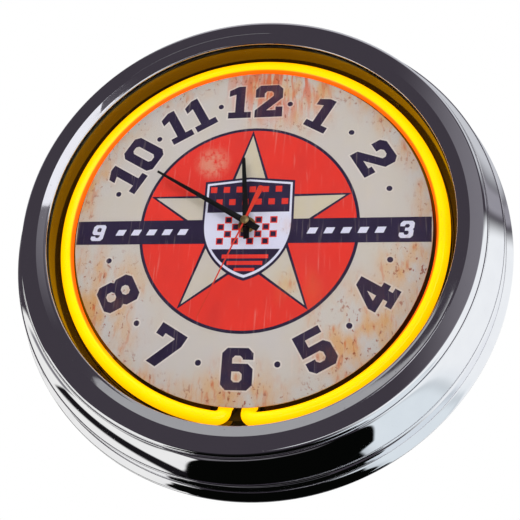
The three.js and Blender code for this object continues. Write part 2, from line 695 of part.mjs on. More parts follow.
function gearTrain() {
  const secondsArbor = bar(HANDS_AT, SECONDS_ARBOR_R, PIPE_END.seconds, -12.2, 12);
  const secondsWheel = join(
    secondsArbor,
    toothed(HANDS_AT, 36, tip(SECONDS_CENTRE, 36, 6), 0.5, -17.4, -16.7),
    toothed(HANDS_AT, 6, tip(TRAIN_CENTRE, 6, 45), 0.25, -19.1, -18),
  );
  const intermediate = join(
    bar(INTERMEDIATE_AT, 0.5, -18.9, -12.2, 8),
    toothed(INTERMEDIATE_AT, 6, tip(SECONDS_CENTRE, 6, 36), 0.25, -17.6, -16.5),
    toothed(INTERMEDIATE_AT, 30, tip(ROTOR_CENTRE, 30, 6), 0.5, -15.9, -15.2),
  );
  const third = join(
    bar(THIRD_AT, 0.5, -21.5, -16.9, 8),
    toothed(THIRD_AT, 45, tip(TRAIN_CENTRE, 45, 6), 0.6, -18.9, -18.2),
    toothed(THIRD_AT, 6, tip(TRAIN_CENTRE, 6, 48), 0.25, -20.6, -19.5),
  );
  const centre = cut(
    join(
      disc(MINUTE_PIPE[1], PIPE_END.minute, -19.7, 12),
      toothed(HANDS_AT, 48, tip(TRAIN_CENTRE, 48, 6), 0.6, -20.4, -19.7),
      toothed(HANDS_AT, 8, tip(MOTION_CENTRE, 8, 24), 0.4, -22.5, -21.2),
    ),
    disc(MINUTE_PIPE[0], -60, 0, 12),
  );
  const minuteWheel = join(
    bar(MINUTE_WHEEL_AT, 0.6, -23.7, -21.2, 8),
    toothed(MINUTE_WHEEL_AT, 24, tip(MOTION_CENTRE, 24, 8), 0.6, -22.3, -21.6),
    toothed(MINUTE_WHEEL_AT, 6, tip(MOTION_CENTRE, 6, 24), 0.4, -23.7, -22.6),
  );
  const hourWheel = cut(
    join(
      disc(HOUR_PIPE[1], PIPE_END.hour, -22.9, 16),
      toothed(HANDS_AT, 24, tip(MOTION_CENTRE, 24, 6), 0.6, -23.6, -22.9),
    ),
    disc(HOUR_PIPE[0], -60, 0, 16),
  );
  const knobFront = -10;
  const knob = join(
    bar(SETTING_AT, 0.7, -23.6, knobFront + 1, 12),
    toothed(SETTING_AT, 8, tip(MOTION_CENTRE, 8, 24), 0.4, -22.5, -21.4),
    toothed(SETTING_AT, 18, 4.2, 0.4, knobFront, knobFront + 2.8),
  );
  return assembly(
    piece("seconds_wheel", secondsWheel, brass),
    piece("intermediate_wheel", intermediate, whiteNylon),
    piece("third_wheel", third, whiteNylon),
    piece("centre_wheel", centre, brass),
    piece("minute_wheel", minuteWheel, whiteNylon),
    piece("hour_wheel", hourWheel, whiteNylon),
    piece("setting_knob", knob, finish("#b8201a", 0.4)),
  );
}

// ---------------------------------------------------------------- hands
// A flat baton hand that points to twelve: narrow at its tip, widest at the hub, square at its tail.
function batonHand(reach, tail, halfWidths, boreR, front, back) {
  const [tipHalf, hubHalf, tailHalf] = halfWidths;
  const blade = outlineShape([
    [-tailHalf, -tail],
    [tailHalf, -tail],
    [hubHalf, 0],
    [tipHalf, reach],
    [-tipHalf, reach],
    [-hubHalf, 0],
  ]);
  const boss = disc(boreR + 1, front, back + 0.6, 20);
  return cut(join(plate(blade, front, back), boss), disc(boreR, front - 1, back + 2, 20));
}

function hands() {
  const turnedTo = (degrees, ...pieces) => {
    const group = assembly(...pieces);
    group.rotation.y = THREE.MathUtils.degToRad(degrees);
    return group;
  };
  const hour = batonHand(53.5, 12.8, [1.05, 2.2, 1.85], HOUR_PIPE[1] + GAP, FACE_Y - 5.3, FACE_Y - 4.8);
  const minute = batonHand(82.6, 11.4, [0.75, 2.4, 2.05], MINUTE_PIPE[1] + GAP, FACE_Y - 7.3, FACE_Y - 6.8);
  const pointer = outlineShape([
    [-2.2, -27.2],
    [-1.2, -29.4],
    [1.2, -29.4],
    [2.2, -27.2],
    [0.75, -2],
    [0.3, 78.6],
    [-0.3, 78.6],
    [-0.75, -2],
  ]);
  const secondFront = FACE_Y - 9.6;
  const second = join(
    plate(pointer, secondFront, secondFront + 0.4),
    disc(2, secondFront, secondFront + 0.4, 16),
  );
  const capBack = secondFront - GAP;
  const cap = turned([[0, capBack - 1.6], [2.6, capBack - 1.6], [3.1, capBack - 1.1], [3.1, capBack], [0, capBack]], 24);
  return assembly(
    turnedTo(HOUR_HAND_DEG, piece("hour_hand", hour, handBlack)),
    turnedTo(MINUTE_HAND_DEG, piece("minute_hand", minute, handBlack)),
    turnedTo(SECOND_HAND_DEG, piece("second_hand", second, handRed)),
    piece("hub_cap", cap, brass),
  );
}

// ---------------------------------------------------------------- the clock
const housing = assembly(rim(), glazing(), channelPan(), dial(), backCover(), coverScrews());
const light = assembly(neonTube(), tubeClips(), electrodes(), powerSupply());
const power = assembly(inlet(), rockerSwitch(), lowVoltageLeads());
const movement = assembly(movementCase(), dialFixings(), battery(), motor(), electronics(), gearTrain());
const clock = assembly(housing, light, power, movement, hands());

export default clock;
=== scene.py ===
# %% [markdown]
# # A service station clock with a neon ring
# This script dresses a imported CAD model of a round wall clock. The CAD model fixes every size, every place
# and every moving body. Blender adds the surfaces: a polished rim, a printed tin dial, a lit glass tube.
# Everything is in metres. +Z is up, the dial faces -Y, and +X is to the right of someone reading it.

# %% Load the frame
import json
import math

import bmesh
import bpy
from mathutils import Matrix, Vector


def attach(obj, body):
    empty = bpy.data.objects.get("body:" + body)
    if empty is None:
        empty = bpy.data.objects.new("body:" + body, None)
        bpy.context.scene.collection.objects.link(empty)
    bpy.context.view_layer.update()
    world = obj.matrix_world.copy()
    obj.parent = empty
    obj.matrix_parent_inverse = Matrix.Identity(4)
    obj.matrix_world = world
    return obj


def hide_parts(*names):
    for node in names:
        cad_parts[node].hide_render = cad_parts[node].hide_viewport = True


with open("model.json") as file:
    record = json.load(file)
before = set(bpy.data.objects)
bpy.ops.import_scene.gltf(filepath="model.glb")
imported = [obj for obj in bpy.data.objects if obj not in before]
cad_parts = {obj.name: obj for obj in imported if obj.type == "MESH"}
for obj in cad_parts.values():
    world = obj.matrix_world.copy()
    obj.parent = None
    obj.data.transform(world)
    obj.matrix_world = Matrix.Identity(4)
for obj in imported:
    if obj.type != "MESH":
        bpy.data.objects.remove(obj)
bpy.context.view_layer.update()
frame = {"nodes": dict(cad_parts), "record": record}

MM = 0.001
FULL_TURN = 2 * math.pi
scene = bpy.context.scene

# %% [markdown]
# ## Two helpers for every shader
# Colours are written as sRGB hex values, as a paint chart gives them, and turned to the linear values that
# shaders use. `add` places one node, sets it up and links it. An input can be a number, a colour, a socket,
# or another node, which then gives its own result.

# %% Helpers for colour and nodes
def linear(hex_colour, alpha=1.0):
    channels = [int(hex_colour[i : i + 2], 16) / 255 for i in (1, 3, 5)]
    return (*[c / 12.92 if c <= 0.04045 else ((c + 0.055) / 1.055) ** 2.4 for c in channels], alpha)


def add(tree, kind, inputs=None, **settings):
    node = tree.nodes.new(kind)
    for name, value in settings.items():
        setattr(node, name, value)
    for key, value in (inputs or {}).items():
        if isinstance(value, bpy.types.Node):
            value = next(socket for socket in value.outputs if socket.enabled)
        if isinstance(value, bpy.types.NodeSocket):
            tree.links.new(value, node.inputs[key])
        else:
            node.inputs[key].default_value = value
    return node


# %% [markdown]
# ## Helpers for meshes
# `lathe` turns an outline about an axis, which is how most of a round clock is made: spun, turned or
# moulded. `cut_sheet` cuts a flat piece out of sheet, holes and all: Blender fills a closed 2-D curve and
# leaves the loops inside it open. `soften` rounds the edges that a press or a mould would leave soft.

# %% Helpers for meshes
def mesh_object(name, bm):
    mesh = bpy.data.meshes.new(name)
    bm.to_mesh(mesh)
    bm.free()
    piece = bpy.data.objects.new(name, mesh)
    scene.collection.objects.link(piece)
    return piece


def shade(piece, sharp_deg=35):
    """Smooth shading, with creases kept where the surface turns sharply."""
    piece.data.shade_smooth()
    piece.data.set_sharp_from_angle(angle=math.radians(sharp_deg))
    return piece


def apply_modifiers(piece):
    """Keeps what the modifiers make as the piece's own mesh."""
    bpy.context.view_layer.update()
    evaluated = piece.evaluated_get(bpy.context.evaluated_depsgraph_get())
    shaped = bpy.data.meshes.new_from_object(evaluated)
    piece.modifiers.clear()
    piece.data = shaped
    return piece


def soften(piece, width_mm, steps=2):
    """Rounds the edges. Weighted normals then keep the flats from shading towards the rounds."""
    bevel = piece.modifiers.new("soft_edges", "BEVEL")
    bevel.width = width_mm * MM
    bevel.segments = steps
    bevel.angle_limit = math.radians(40)
    shade(apply_modifiers(piece))
    flats = piece.modifiers.new("flats_stay_flat", "WEIGHTED_NORMAL")
    flats.weight = 100
    flats.keep_sharp = True
    return apply_modifiers(piece)


def lathe(name, outline, flats=256, sharp_deg=35, place=(0, 0)):
    """Turns an outline of (radius, y) points, in millimetres, about a line along Y at a place (x, z)."""
    bm = bmesh.new()
    turns = [FULL_TURN * i / flats for i in range(flats)]
    rings = []
    for radius, y in outline:
        if radius == 0:
            rings.append([bm.verts.new((place[0] * MM, y * MM, place[1] * MM))] * flats)
            continue
        spots = [(place[0] + radius * math.sin(a), y, place[1] + radius * math.cos(a)) for a in turns]
        rings.append([bm.verts.new(Vector(spot) * MM) for spot in spots])
    closed = outline[0][0] != 0
    for i in range(len(rings) if closed else len(rings) - 1):
        near, far = rings[i], rings[(i + 1) % len(rings)]
        for j in range(flats):
            k = (j + 1) % flats
            corners = [near[j], near[k], far[k], far[j]]
            bm.faces.new([v for n, v in enumerate(corners) if v not in corners[:n]])
    bmesh.ops.recalc_face_normals(bm, faces=bm.faces)
    return shade(mesh_object(name, bm), sharp_deg)


def arc(centre, radius, start_deg, end_deg, steps):
    """Points of an arc, from one angle to another."""
    turns = [math.radians(start_deg + (end_deg - start_deg) * i / steps) for i in range(steps + 1)]
    return [(centre[0] + radius * math.cos(a), centre[1] + radius * math.sin(a)) for a in turns]


def straight(start, end, inset=0.25):
    """A straight run with a point close to each end, so that its shading stays flat between them."""
    first, last = Vector(start), Vector(end)
    step = (last - first).normalized() * inset
    return [tuple(first), tuple(first + step), tuple(last - step), tuple(last)]


def cut_sheet(name, outlines, front, back):
    """A flat piece from y = front to y = back, cut to loops of (x, z) points. Loops inside it are holes."""
    curve = bpy.data.curves.new(name, "CURVE")
    curve.dimensions = "2D"
    curve.fill_mode = "BOTH"
    curve.extrude = (back - front) / 2 * MM
    for outline in outlines:
        spline = curve.splines.new("POLY")
        spline.points.add(len(outline) - 1)
        for point, (x, z) in zip(spline.points, outline):
            point.co = (x * MM, z * MM, 0, 1)
        spline.use_cyclic_u = True
    sheet = bpy.data.meshes.new_from_object(bpy.data.objects.new(name, curve))
    stand_up = Matrix.Translation((0, (front + back) / 2 * MM, 0)) @ Matrix.Rotation(math.pi / 2, 4, "X")
    bm = bmesh.new()
    bm.from_mesh(sheet)
    bm.transform(stand_up)
    bmesh.ops.remove_doubles(bm, verts=bm.verts, dist=1e-7)
    bmesh.ops.recalc_face_normals(bm, faces=bm.faces)
    return shade(mesh_object(name, bm))


def join(name, *pieces):
    """Puts the meshes of several pieces into one."""
    bm = bmesh.new()
    for piece in pieces:
        bm.from_mesh(piece.data)
        bpy.data.objects.remove(piece)
    return shade(mesh_object(name, bm))


def cutter_block(name, middle, size):
    """A plain block to cut with, its middle and its size in millimetres."""
    bm = bmesh.new()
    to_place = Matrix.Translation([distance * MM for distance in middle])
    to_size = Matrix.Diagonal((*[side * MM for side in size], 1))
    bmesh.ops.create_cube(bm, size=1, matrix=to_place @ to_size)
    return mesh_object(name, bm)


def cut_away(piece, cutter):
    """Takes a cutter's shape out of a piece."""
    cut = piece.modifiers.new("cut", "BOOLEAN")
    cut.operation = "DIFFERENCE"
    cut.solver = "EXACT"
    cut.object = cutter
    apply_modifiers(piece)
    bpy.data.objects.remove(cutter)
    return shade(piece)


def finish_piece(piece, body, finish, slot, *nodes):
    """Gives a finished mesh its material and hands it to the frame."""
    piece.data.materials.clear()
    piece.data.materials.append(finish)
    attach(piece, body)
    if nodes:
        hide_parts(*nodes)
    print(piece.name, "has", len(piece.data.polygons), "faces")
    return piece


# %% [markdown]
# ## Camera and studio
# The clock is seen from just below and to the right, from half a metre away, so its lower side shows and its
# far edge shrinks. The lens is a normal one, and the camera is turned a little about its own axis, so that
# the clock leans. The room is plain: a pale floor and a white backdrop.

# %% Camera
CAMERA_AT = (0.0959, -0.4798, -0.2014)
CAMERA_RIGHT = Vector((0.98493, 0.16290, 0.05814))
CAMERA_UP = Vector((0.00452, -0.36027, 0.93284))

camera_data = bpy.data.cameras.new("camera")
camera_data.lens = 47.56
camera_data.sensor_width = 36
camera_data.clip_start = 0.01
camera = bpy.data.objects.new("camera", camera_data)
scene.collection.objects.link(camera)
camera_back = CAMERA_RIGHT.cross(CAMERA_UP).normalized()
camera_axes = Matrix((CAMERA_RIGHT, camera_back.cross(CAMERA_RIGHT).normalized(), camera_back)).transposed()
camera.matrix_world = Matrix.Translation(CAMERA_AT) @ camera_axes.to_4x4()
scene.camera = camera
scene.view_settings.view_transform = "Standard"
print("camera", round((Vector(CAMERA_AT)).length, 3), "m from the hand axis")

# %% [markdown]
# ## Floor and lamps
# A pale paper floor lies below the clock. Three soft square lamps light it: a key from the upper left, a
# weaker fill from the right, and one behind that lights the back. Polished surfaces don't show the lamps.

# %% Floor and lamps
FLOOR_DROP = 0.26  # the floor lies this far below the hand axis
FLOOR_HALF = 1.0

bm = bmesh.new()
bmesh.ops.create_grid(bm, x_segments=1, y_segments=1, size=FLOOR_HALF)
floor = mesh_object("floor", bm)
floor.data.transform(Matrix.Translation((0, 0, -FLOOR_DROP)))
floor_paper = bpy.data.materials.new("floor_paper")
floor_paper.use_nodes = True
floor_shader = floor_paper.node_tree.nodes["Principled BSDF"]
floor_shader.inputs["Base Color"].default_value = linear("#f1f0ee")
floor_shader.inputs["Roughness"].default_value = 0.9
floor.data.materials.append(floor_paper)
floor.visible_glossy = False


def softbox(name, place, size, power):
    """A square lamp that points at the clock, and that polished surfaces don't show."""
    data = bpy.data.lights.new(name, "AREA")
    data.size = size
    data.energy = power
    lamp = bpy.data.objects.new(name, data)
    lamp.location = place
    lamp.rotation_euler = (-Vector(place)).to_track_quat("-Z", "Y").to_euler()
    scene.collection.objects.link(lamp)
    lamp.visible_glossy = False


softbox("key_softbox", (-0.7, -1.3, 1.0), 0.9, 13)
softbox("fill_softbox", (1.1, -0.9, 0.1), 0.9, 6.5)
softbox("back_softbox", (0.2, 1.5, 0.9), 1.0, 12)
print("floor and three lamps")

# %% [markdown]
# ## What the chrome shows
# Chrome has no colour of its own. It shows the room, so the room is laid out as a studio lays it out for
# polished metal: a black floor, black flags, and tall white panels at both sides. Two cards stand near the
# clock, because the hollow cone inside the rim and the far edge of it look the same way and show different
# things. The rest of the room is the world. A camera ray finds it plain white, and a reflection finds
# soft-edged panels, each laid over the ones before it and placed by two angles in degrees: its azimuth,
# counted from the front round to the right, and its height above the horizon.

# %% Cards near the clock
CARD_Y = -1.0


def reflected_card(name, x, z, colour):
    """An upright card in front of the clock that only polished surfaces see."""
    bm = bmesh.new()
    corners = [(x[0], z[0]), (x[1], z[0]), (x[1], z[1]), (x[0], z[1])]
    bm.faces.new([bm.verts.new((cx, CARD_Y, cz)) for cx, cz in corners])
    card = mesh_object(name, bm)
    paper = bpy.data.materials.new(name)
    paper.use_nodes = True
    tree = paper.node_tree
    tree.nodes.clear()
    glow = add(tree, "ShaderNodeEmission", {"Color": linear(colour), "Strength": 1.0})
    add(tree, "ShaderNodeOutputMaterial", {"Surface": glow.outputs[0]})
    card.data.materials.append(paper)
    card.visible_camera = False
    card.visible_diffuse = False
    card.visible_shadow = False
    card.visible_transmission = False
    print("card", name)


reflected_card("overhead_panel", (-0.37, -0.165), (0.60, 0.79), "#a0a0a2")
reflected_card("small_panel", (-0.09, -0.02), (0.265, 0.375), "#f2f2f8")

# %% The room that polished surfaces see
DEG = math.pi / 180
world = bpy.data.worlds.new("studio")
scene.world = world
world.use_nodes = True
room = world.node_tree
room.nodes.clear()
towards = add(room, "ShaderNodeTexCoord").outputs["Generated"]
axes = add(room, "ShaderNodeSeparateXYZ", {0: towards}).outputs
forwards = add(room, "ShaderNodeMath", {0: axes["Y"], 1: -1.0}, operation="MULTIPLY")
around_front = add(room, "ShaderNodeMath", {0: axes["X"], 1: forwards}, operation="ARCTAN2")
height = add(room, "ShaderNodeMath", {0: axes["Z"]}, operation="ARCSINE")


def panel(colour, azimuths, heights, seen, soft, upright=height):
    """Lays a panel over the room seen so far. Its edges are soft by a number of degrees to each side."""
    cover = 1.0
    for value, (low, high) in ((around_front, azimuths), (upright, heights)):
        for start, end in ((low - soft, low + soft), (high + soft, high - soft)):
            limits = {"Value": value, "From Min": start * DEG, "From Max": end * DEG}
            side = add(room, "ShaderNodeMapRange", limits, interpolation_type="SMOOTHSTEP")
            cover = add(room, "ShaderNodeMath", {0: cover, 1: side}, operation="MULTIPLY")
    return add(room, "ShaderNodeMix", {0: cover, 6: seen, 7: linear(colour)}, data_type="RGBA")


ROOM_GREY = "#3f3a42"
PANELS = [  # colour, azimuths, heights, softness
    ("#7c7a82", (-165, -80), (22, 46), 5.0),  # far wall, above the white one
    ("#b0aeb4", (-200, 200), (60, 100), 6.0),  # ceiling
    ("#a8a6ac", (-35, 60), (48, 64), 4.0),
    ("#f0f0ee", (-150, -96), (-57, 8), 1.0),  # white wall on the left, stepping down to the front
    ("#f0f0ee", (-99, -72), (-60, -12), 1.0),
    ("#f0f0ee", (-75, -42), (-62, -27), 1.0),
    ("#4c4a4e", (-170, -143), (-32, -9), 4.0),
    ("#18161a", (-127.5, -121), (-60, -12), 0.8),  # black flag in front of the white wall
    ("#7c7a80", (-134, -128), (-12, 4), 1.5),
    ("#e0e0e4", (-136, -128), (26, 44), 1.5),
    ("#7a777e", (4, 20), (2, 36), 4.0),
    ("#f2f5f7", (12, 158), (-26, 22), 3.0),  # white wall on the right
    ("#f2f5f7", (-6, 20), (-8, 1), 1.5),
    ("#dde6eb", (28, 150), (-60, -24), 8.0),  # its foot, a little bluer
    ("#c8cacf", (55, 172), (33, 100), 5.0),  # slope of the ceiling
    ("#96949c", (85, 162), (25, 31), 1.5),  # slit between wall and ceiling
    ("#1a181c", (-40, 25), (-60, -36), 3.0),
    ("#e6e6ea", (-200, -140), (20, 34), 1.5),  # lit strip behind the clock
    ("#e6e6ea", (150, 200), (18, 34), 1.5),
]
FLOOR_BLACK = "#050605"
FLOOR_SLANTS = [((-200, -123), 0.5, -122), ((117, 200), -0.5, -111)]  # azimuths, slope, level
FAR_PANELS = [  # beyond the floor
    ("#f0f0ee", (-200, -148), (-9, 8), 2.0),
    ("#08070a", (-200, -163), (-34, -14), 2.0),
    ("#6c6a6e", (-200, -154), (-45, -34), 2.0),
    ("#5c5a5e", (164, 200), (-45, -35), 2.0),
]

seen = linear(ROOM_GREY)
for colour, azimuths, heights, soft in PANELS:
    seen = panel(colour, azimuths, heights, seen, soft)
seen = panel(FLOOR_BLACK, (-124, 118), (-100, -58), seen, 0.8)
for azimuths, slope, level in FLOOR_SLANTS:
    sloping = add(room, "ShaderNodeMath", {0: around_front, 1: slope, 2: height}, operation="MULTIPLY_ADD")
    seen = panel(FLOOR_BLACK, azimuths, (-400, level), seen, 0.8, sloping)
for colour, azimuths, heights, soft in FAR_PANELS:
    seen = panel(colour, azimuths, heights, seen, soft)
rays = add(room, "ShaderNodeLightPath").outputs
soft_light = linear("#c8c8ca")
lit = add(room, "ShaderNodeMix", {0: rays["Is Glossy Ray"], 6: soft_light, 7: seen}, data_type="RGBA")
shown = add(room, "ShaderNodeMix", {0: rays["Is Camera Ray"], 6: lit, 7: (1, 1, 1, 1)}, data_type="RGBA")
backdrop = add(room, "ShaderNodeBackground", {"Color": shown, "Strength": 1.0})
add(room, "ShaderNodeOutputWorld", {"Surface": backdrop.outputs[0]})
print("room laid out with", len(room.nodes), "nodes")

# %% [markdown]
# ## Families of finishes
# Most of the clock's small parts share a few ways of being made. A moulded or painted skin has one colour,
# slow patches where it flowed or wore, and a fine texture from the mould or the spray gun. Worked metal has
# fine lines left by its last polish. Each family is one function, so every finish below is a line or two:
# its colour, how rough it is, and how large its grain is in millimetres.

# %% Finish families
FINISHES = {}


def new_finish(name, values):
    """A material with its Principled shader set up. Also gives the place on the piece, in metres."""
    material = bpy.data.materials.new(name)
    material.use_nodes = True
    tree = material.node_tree
    shader = tree.nodes["Principled BSDF"]
    for socket, value in values.items():
        shader.inputs[socket].default_value = value
    print("finish", name)
    return material, tree, shader, add(tree, "ShaderNodeTexCoord").outputs["Object"]


def roughen(tree, shader, value, low, high):
    """Lets the roughness wander between two values."""
    limits = {"Value": value, "From Min": 0.35, "From Max": 0.65, "To Min": low, "To Max": high}
    tree.links.new(add(tree, "ShaderNodeMapRange", limits).outputs[0], shader.inputs["Roughness"])


def emboss(tree, shader, height, depth_mm, strength=1.0):
    bump = add(tree, "ShaderNodeBump", {"Height": height, "Distance": depth_mm * MM, "Strength": strength})
    tree.links.new(bump.outputs[0], shader.inputs["Normal"])


def moulded(name, colour, patches, roughness, grain_mm=0.5, depth_mm=0.03, **values):
    """Moulded or sprayed: slow patches 9 mm across in the colour, and a fine skin of grains."""
    material, tree, shader, place = new_finish(name, {"IOR": 1.5, **values})
    flow = add(tree, "ShaderNodeTexNoise", {"Vector": place, "Scale": 1 / (9 * MM), "Detail": 3.0})
    skin = add(tree, "ShaderNodeTexNoise", {"Vector": place, "Scale": 1 / (grain_mm * MM), "Detail": 2.0})
    tint = add(tree, "ShaderNodeMix", {0: flow, 6: linear(colour), 7: linear(patches)}, data_type="RGBA")
    tree.links.new(tint.outputs[2], shader.inputs["Base Color"])
    roughen(tree, shader, flow, roughness * 0.85, roughness * 1.2)
    emboss(tree, shader, skin, depth_mm, 0.5)
    return material


def worked_metal(name, colour, dull, roughness, lines_mm=0.2, along=(1, 1, 0.05), depth_mm=0.004, **values):
    """Polished or brushed metal: dull patches 6 mm across, and fine lines drawn out along one direction."""
    material, tree, shader, place = new_finish(name, {"Metallic": 1.0, **values})
    stretched = add(tree, "ShaderNodeMapping", {"Vector": place, "Scale": along})
    drawn_out = {"Vector": stretched, "Scale": 1 / (lines_mm * MM), "Detail": 2.0}
    lines = add(tree, "ShaderNodeTexNoise", drawn_out)
    cloud = add(tree, "ShaderNodeTexNoise", {"Vector": place, "Scale": 1 / (6 * MM), "Detail": 4.0})
    tint = add(tree, "ShaderNodeMix", {0: cloud, 6: linear(colour), 7: linear(dull)}, data_type="RGBA")
    tree.links.new(tint.outputs[2], shader.inputs["Base Color"])
    roughen(tree, shader, cloud, roughness * 0.8, roughness * 1.35)
    emboss(tree, shader, lines, depth_mm)
    return material


# %% [markdown]
# ## Chrome
# The rim is spun from sheet steel, polished, and plated with nickel and bright chrome. Its colour is a very
# slightly blue white and its reflections are sharp. Old plating dulls a little, so the roughness wanders in
# slow patches, and gathers pits of a fraction of a millimetre, so a few specks stand in the bump.

# %% Rim chrome
def plated_chrome():
    material, tree, shader, place = new_finish("bright_chrome_plate", {"Metallic": 1.0})
    haze = add(tree, "ShaderNodeTexNoise", {"Vector": place, "Scale": 1 / (14 * MM), "Detail": 4.0})
    tint = add(
        tree, "ShaderNodeMix", {0: haze, 6: linear("#fbfbfd"), 7: linear("#f1f1f5")}, data_type="RGBA"
    )
    tree.links.new(tint.outputs[2], shader.inputs["Base Color"])
    roughen(tree, shader, haze, 0.015, 0.045)
    cells = add(tree, "ShaderNodeTexVoronoi", {"Vector": place, "Scale": 1 / (5 * MM)})
    middles = {"Value": cells.outputs["Distance"], "From Min": 0.0, "From Max": 0.07}
    pits = add(tree, "ShaderNodeMapRange", middles)
    emboss(tree, shader, pits, 0.02, 0.6)
    return material


FINISHES["rim_chrome"] = plated_chrome()

# %% [markdown]
# ## Glass, tube and channel
# The front is plain float glass. It takes almost nothing from the picture, so it is a thin clear skin: a low
# alpha with a sharp, weak reflection. The tube is soda glass coated inside with a yellow phosphor. It gives
# its own light, deep yellow in the middle of the tube. The orange on the side towards the dial is a painted
# glow, which fades out towards the bottom of the ring. The channel behind it is glossy black plastic. Its
# deep gloss is set up as a dark olive metal, which mirrors the tube as a band of dark gold.

# %% Front glass, lit tube and black channel
def float_glass():
    material, tree, shader, place = new_finish("float_glass", {"Alpha": 0.045, "IOR": 1.52})
    smear = add(tree, "ShaderNodeTexNoise", {"Vector": place, "Scale": 1 / (60 * MM), "Detail": 3.0})
    roughen(tree, shader, smear, 0.01, 0.05)
    shader.inputs["Base Color"].default_value = linear("#0b0d0c")
    material.surface_render_method = "BLENDED"
    return material


TUBE_RING_MM = 139.5
TUBE_MM = 4.8


def lit_phosphor():
    material, tree, shader, place = new_finish("lit_yellow_phosphor", {"Roughness": 0.12, "IOR": 1.5})
    # The orange band on the inner side of the tube, towards the dial, is a painted glow. It fades out towards
    # the bottom, where the tube is yellow right across.
    flat = add(tree, "ShaderNodeVectorMath", {0: place, 1: (1, 0, 1)}, operation="MULTIPLY")
    out = add(tree, "ShaderNodeVectorMath", {0: flat}, operation="LENGTH")
    edge = (TUBE_RING_MM - TUBE_MM) * MM
    inner_glow_limits = {"Value": out, "From Min": edge + 0.7 * MM, "From Max": edge + 1.7 * MM}
    outside_painted_glow = add(tree, "ShaderNodeMapRange", inner_glow_limits, interpolation_type="SMOOTHSTEP")
    cloud = add(tree, "ShaderNodeTexNoise", {"Vector": place, "Scale": 1 / (25 * MM), "Detail": 2.0})
    yellow = {0: cloud, 6: linear("#ffbe00"), 7: linear("#ffb200")}
    middle = add(tree, "ShaderNodeMix", yellow, data_type="RGBA")
    up = add(tree, "ShaderNodeSeparateXYZ", {0: place}).outputs["Z"]
    low_down = {"Value": up, "From Min": -60 * MM, "From Max": -122 * MM}
    painted_glow_gone_low_down = add(tree, "ShaderNodeMapRange", low_down, interpolation_type="SMOOTHSTEP")
    covered = add(tree, "ShaderNodeMath", {0: outside_painted_glow, 1: painted_glow_gone_low_down}, operation="MAXIMUM")
    glow = add(tree, "ShaderNodeMix", {0: covered, 6: linear("#f85e0c"), 7: middle}, data_type="RGBA")
    tree.links.new(glow.outputs[2], shader.inputs["Emission Color"])
    tree.links.new(glow.outputs[2], shader.inputs["Base Color"])
    shader.inputs["Emission Strength"].default_value = 1.25
    return material


def channel_plastic():
    material, tree, shader, place = new_finish("black_gloss_styrene", {"Metallic": 0.9})
    flow = add(tree, "ShaderNodeTexNoise", {"Vector": place, "Scale": 1 / (40 * MM), "Detail": 3.0})
    tint = add(
        tree, "ShaderNodeMix", {0: flow, 6: linear("#625828"), 7: linear("#584e24")}, data_type="RGBA"
    )
    tree.links.new(tint.outputs[2], shader.inputs["Base Color"])
    roughen(tree, shader, flow, 0.07, 0.12)
    return material


FINISHES["front_glass"] = float_glass()
FINISHES["lit_glass"] = lit_phosphor()
FINISHES["channel_black"] = channel_plastic()

# %% [markdown]
# ## Inks on tin
# The dial is a tin plate printed in flat inks, with age printed over them: rust that ran down in streaks
# from the top edge and gathered at the lower left and right, dark specks, and one rubbed patch on the red.
# The same weathering runs through every ink, because it reads the place on the dial and not the shape of
# the ink. `bite` says how much of the rust shows: nearly all on cream, hardly any on navy and red.

# %% Weathered inks
DIAL_MM = 132
DIAL_Y = -30
RUSTY_PLACES = [  # x, z and reach, in millimetres
    (28, 122, 62),
    (-112, -62, 62),
    (92, -88, 66),
    (0, -126, 40),
    (-124, 40, 22),
    (118, -30, 34),
    (40, -50, 24),
    (28, 0, 10),
]
RUN_PLACE = (20, 130, 60)
RUBBED_PLACE = (-29.9, 52.4, 17)
EDGE_BAND_MM = 20


def stain(tree, place, x, z, reach):
    """A soft blot, 1 at its middle and 0 at its edge."""
    middle = (x * MM, DIAL_Y * MM, z * MM)
    far = add(tree, "ShaderNodeVectorMath", {0: place, 1: middle}, operation="DISTANCE")
    fading = {"Value": far.outputs["Value"], "From Min": reach * MM, "From Max": 0.25 * reach * MM}
    return add(tree, "ShaderNodeMapRange", fading, interpolation_type="SMOOTHSTEP")


def mottle(tree, place, size_mm, limits, detail=3.0, run=1.0):
    """Patches of a size in millimetres, as a mask. `run` draws them out downwards."""
    drawn = add(tree, "ShaderNodeMapping", {"Vector": place, "Scale": (1, 1, 1 / run)})
    size = {"Vector": drawn, "Scale": 1 / (size_mm * MM), "Detail": detail}
    patches = add(tree, "ShaderNodeTexNoise", size)
    return add(tree, "ShaderNodeMapRange", {"Value": patches, "From Min": limits[0], "From Max": limits[1]})


def rusty_area(tree, place):
    """Where rust can show: the listed blots, and a band along the edge of the dial."""
    flat = add(tree, "ShaderNodeVectorMath", {0: place, 1: (1, 0, 1)}, operation="MULTIPLY")
    out = add(tree, "ShaderNodeVectorMath", {0: flat}, operation="LENGTH").outputs["Value"]
    inner, outer = (DIAL_MM - EDGE_BAND_MM) * MM, DIAL_MM * MM
    to_edge = {"Value": out, "From Min": inner, "From Max": outer, "To Max": 0.75}
    area = add(tree, "ShaderNodeMapRange", to_edge, interpolation_type="SMOOTHSTEP")
    for spot in RUSTY_PLACES:
        blot = stain(tree, place, *spot)
        area = add(tree, "ShaderNodeMath", {0: area, 1: blot}, operation="MAXIMUM")
    return area


def laid_over(tree, below, colour, *masks):
    """Lays a colour over what is below it, where every mask is high."""
    cover = masks[0]
    for mask in masks[1:]:
        cover = add(tree, "ShaderNodeMath", {0: cover, 1: mask}, operation="MULTIPLY")
    return add(tree, "ShaderNodeMix", {0: cover, 6: below, 7: linear(colour)}, data_type="RGBA")


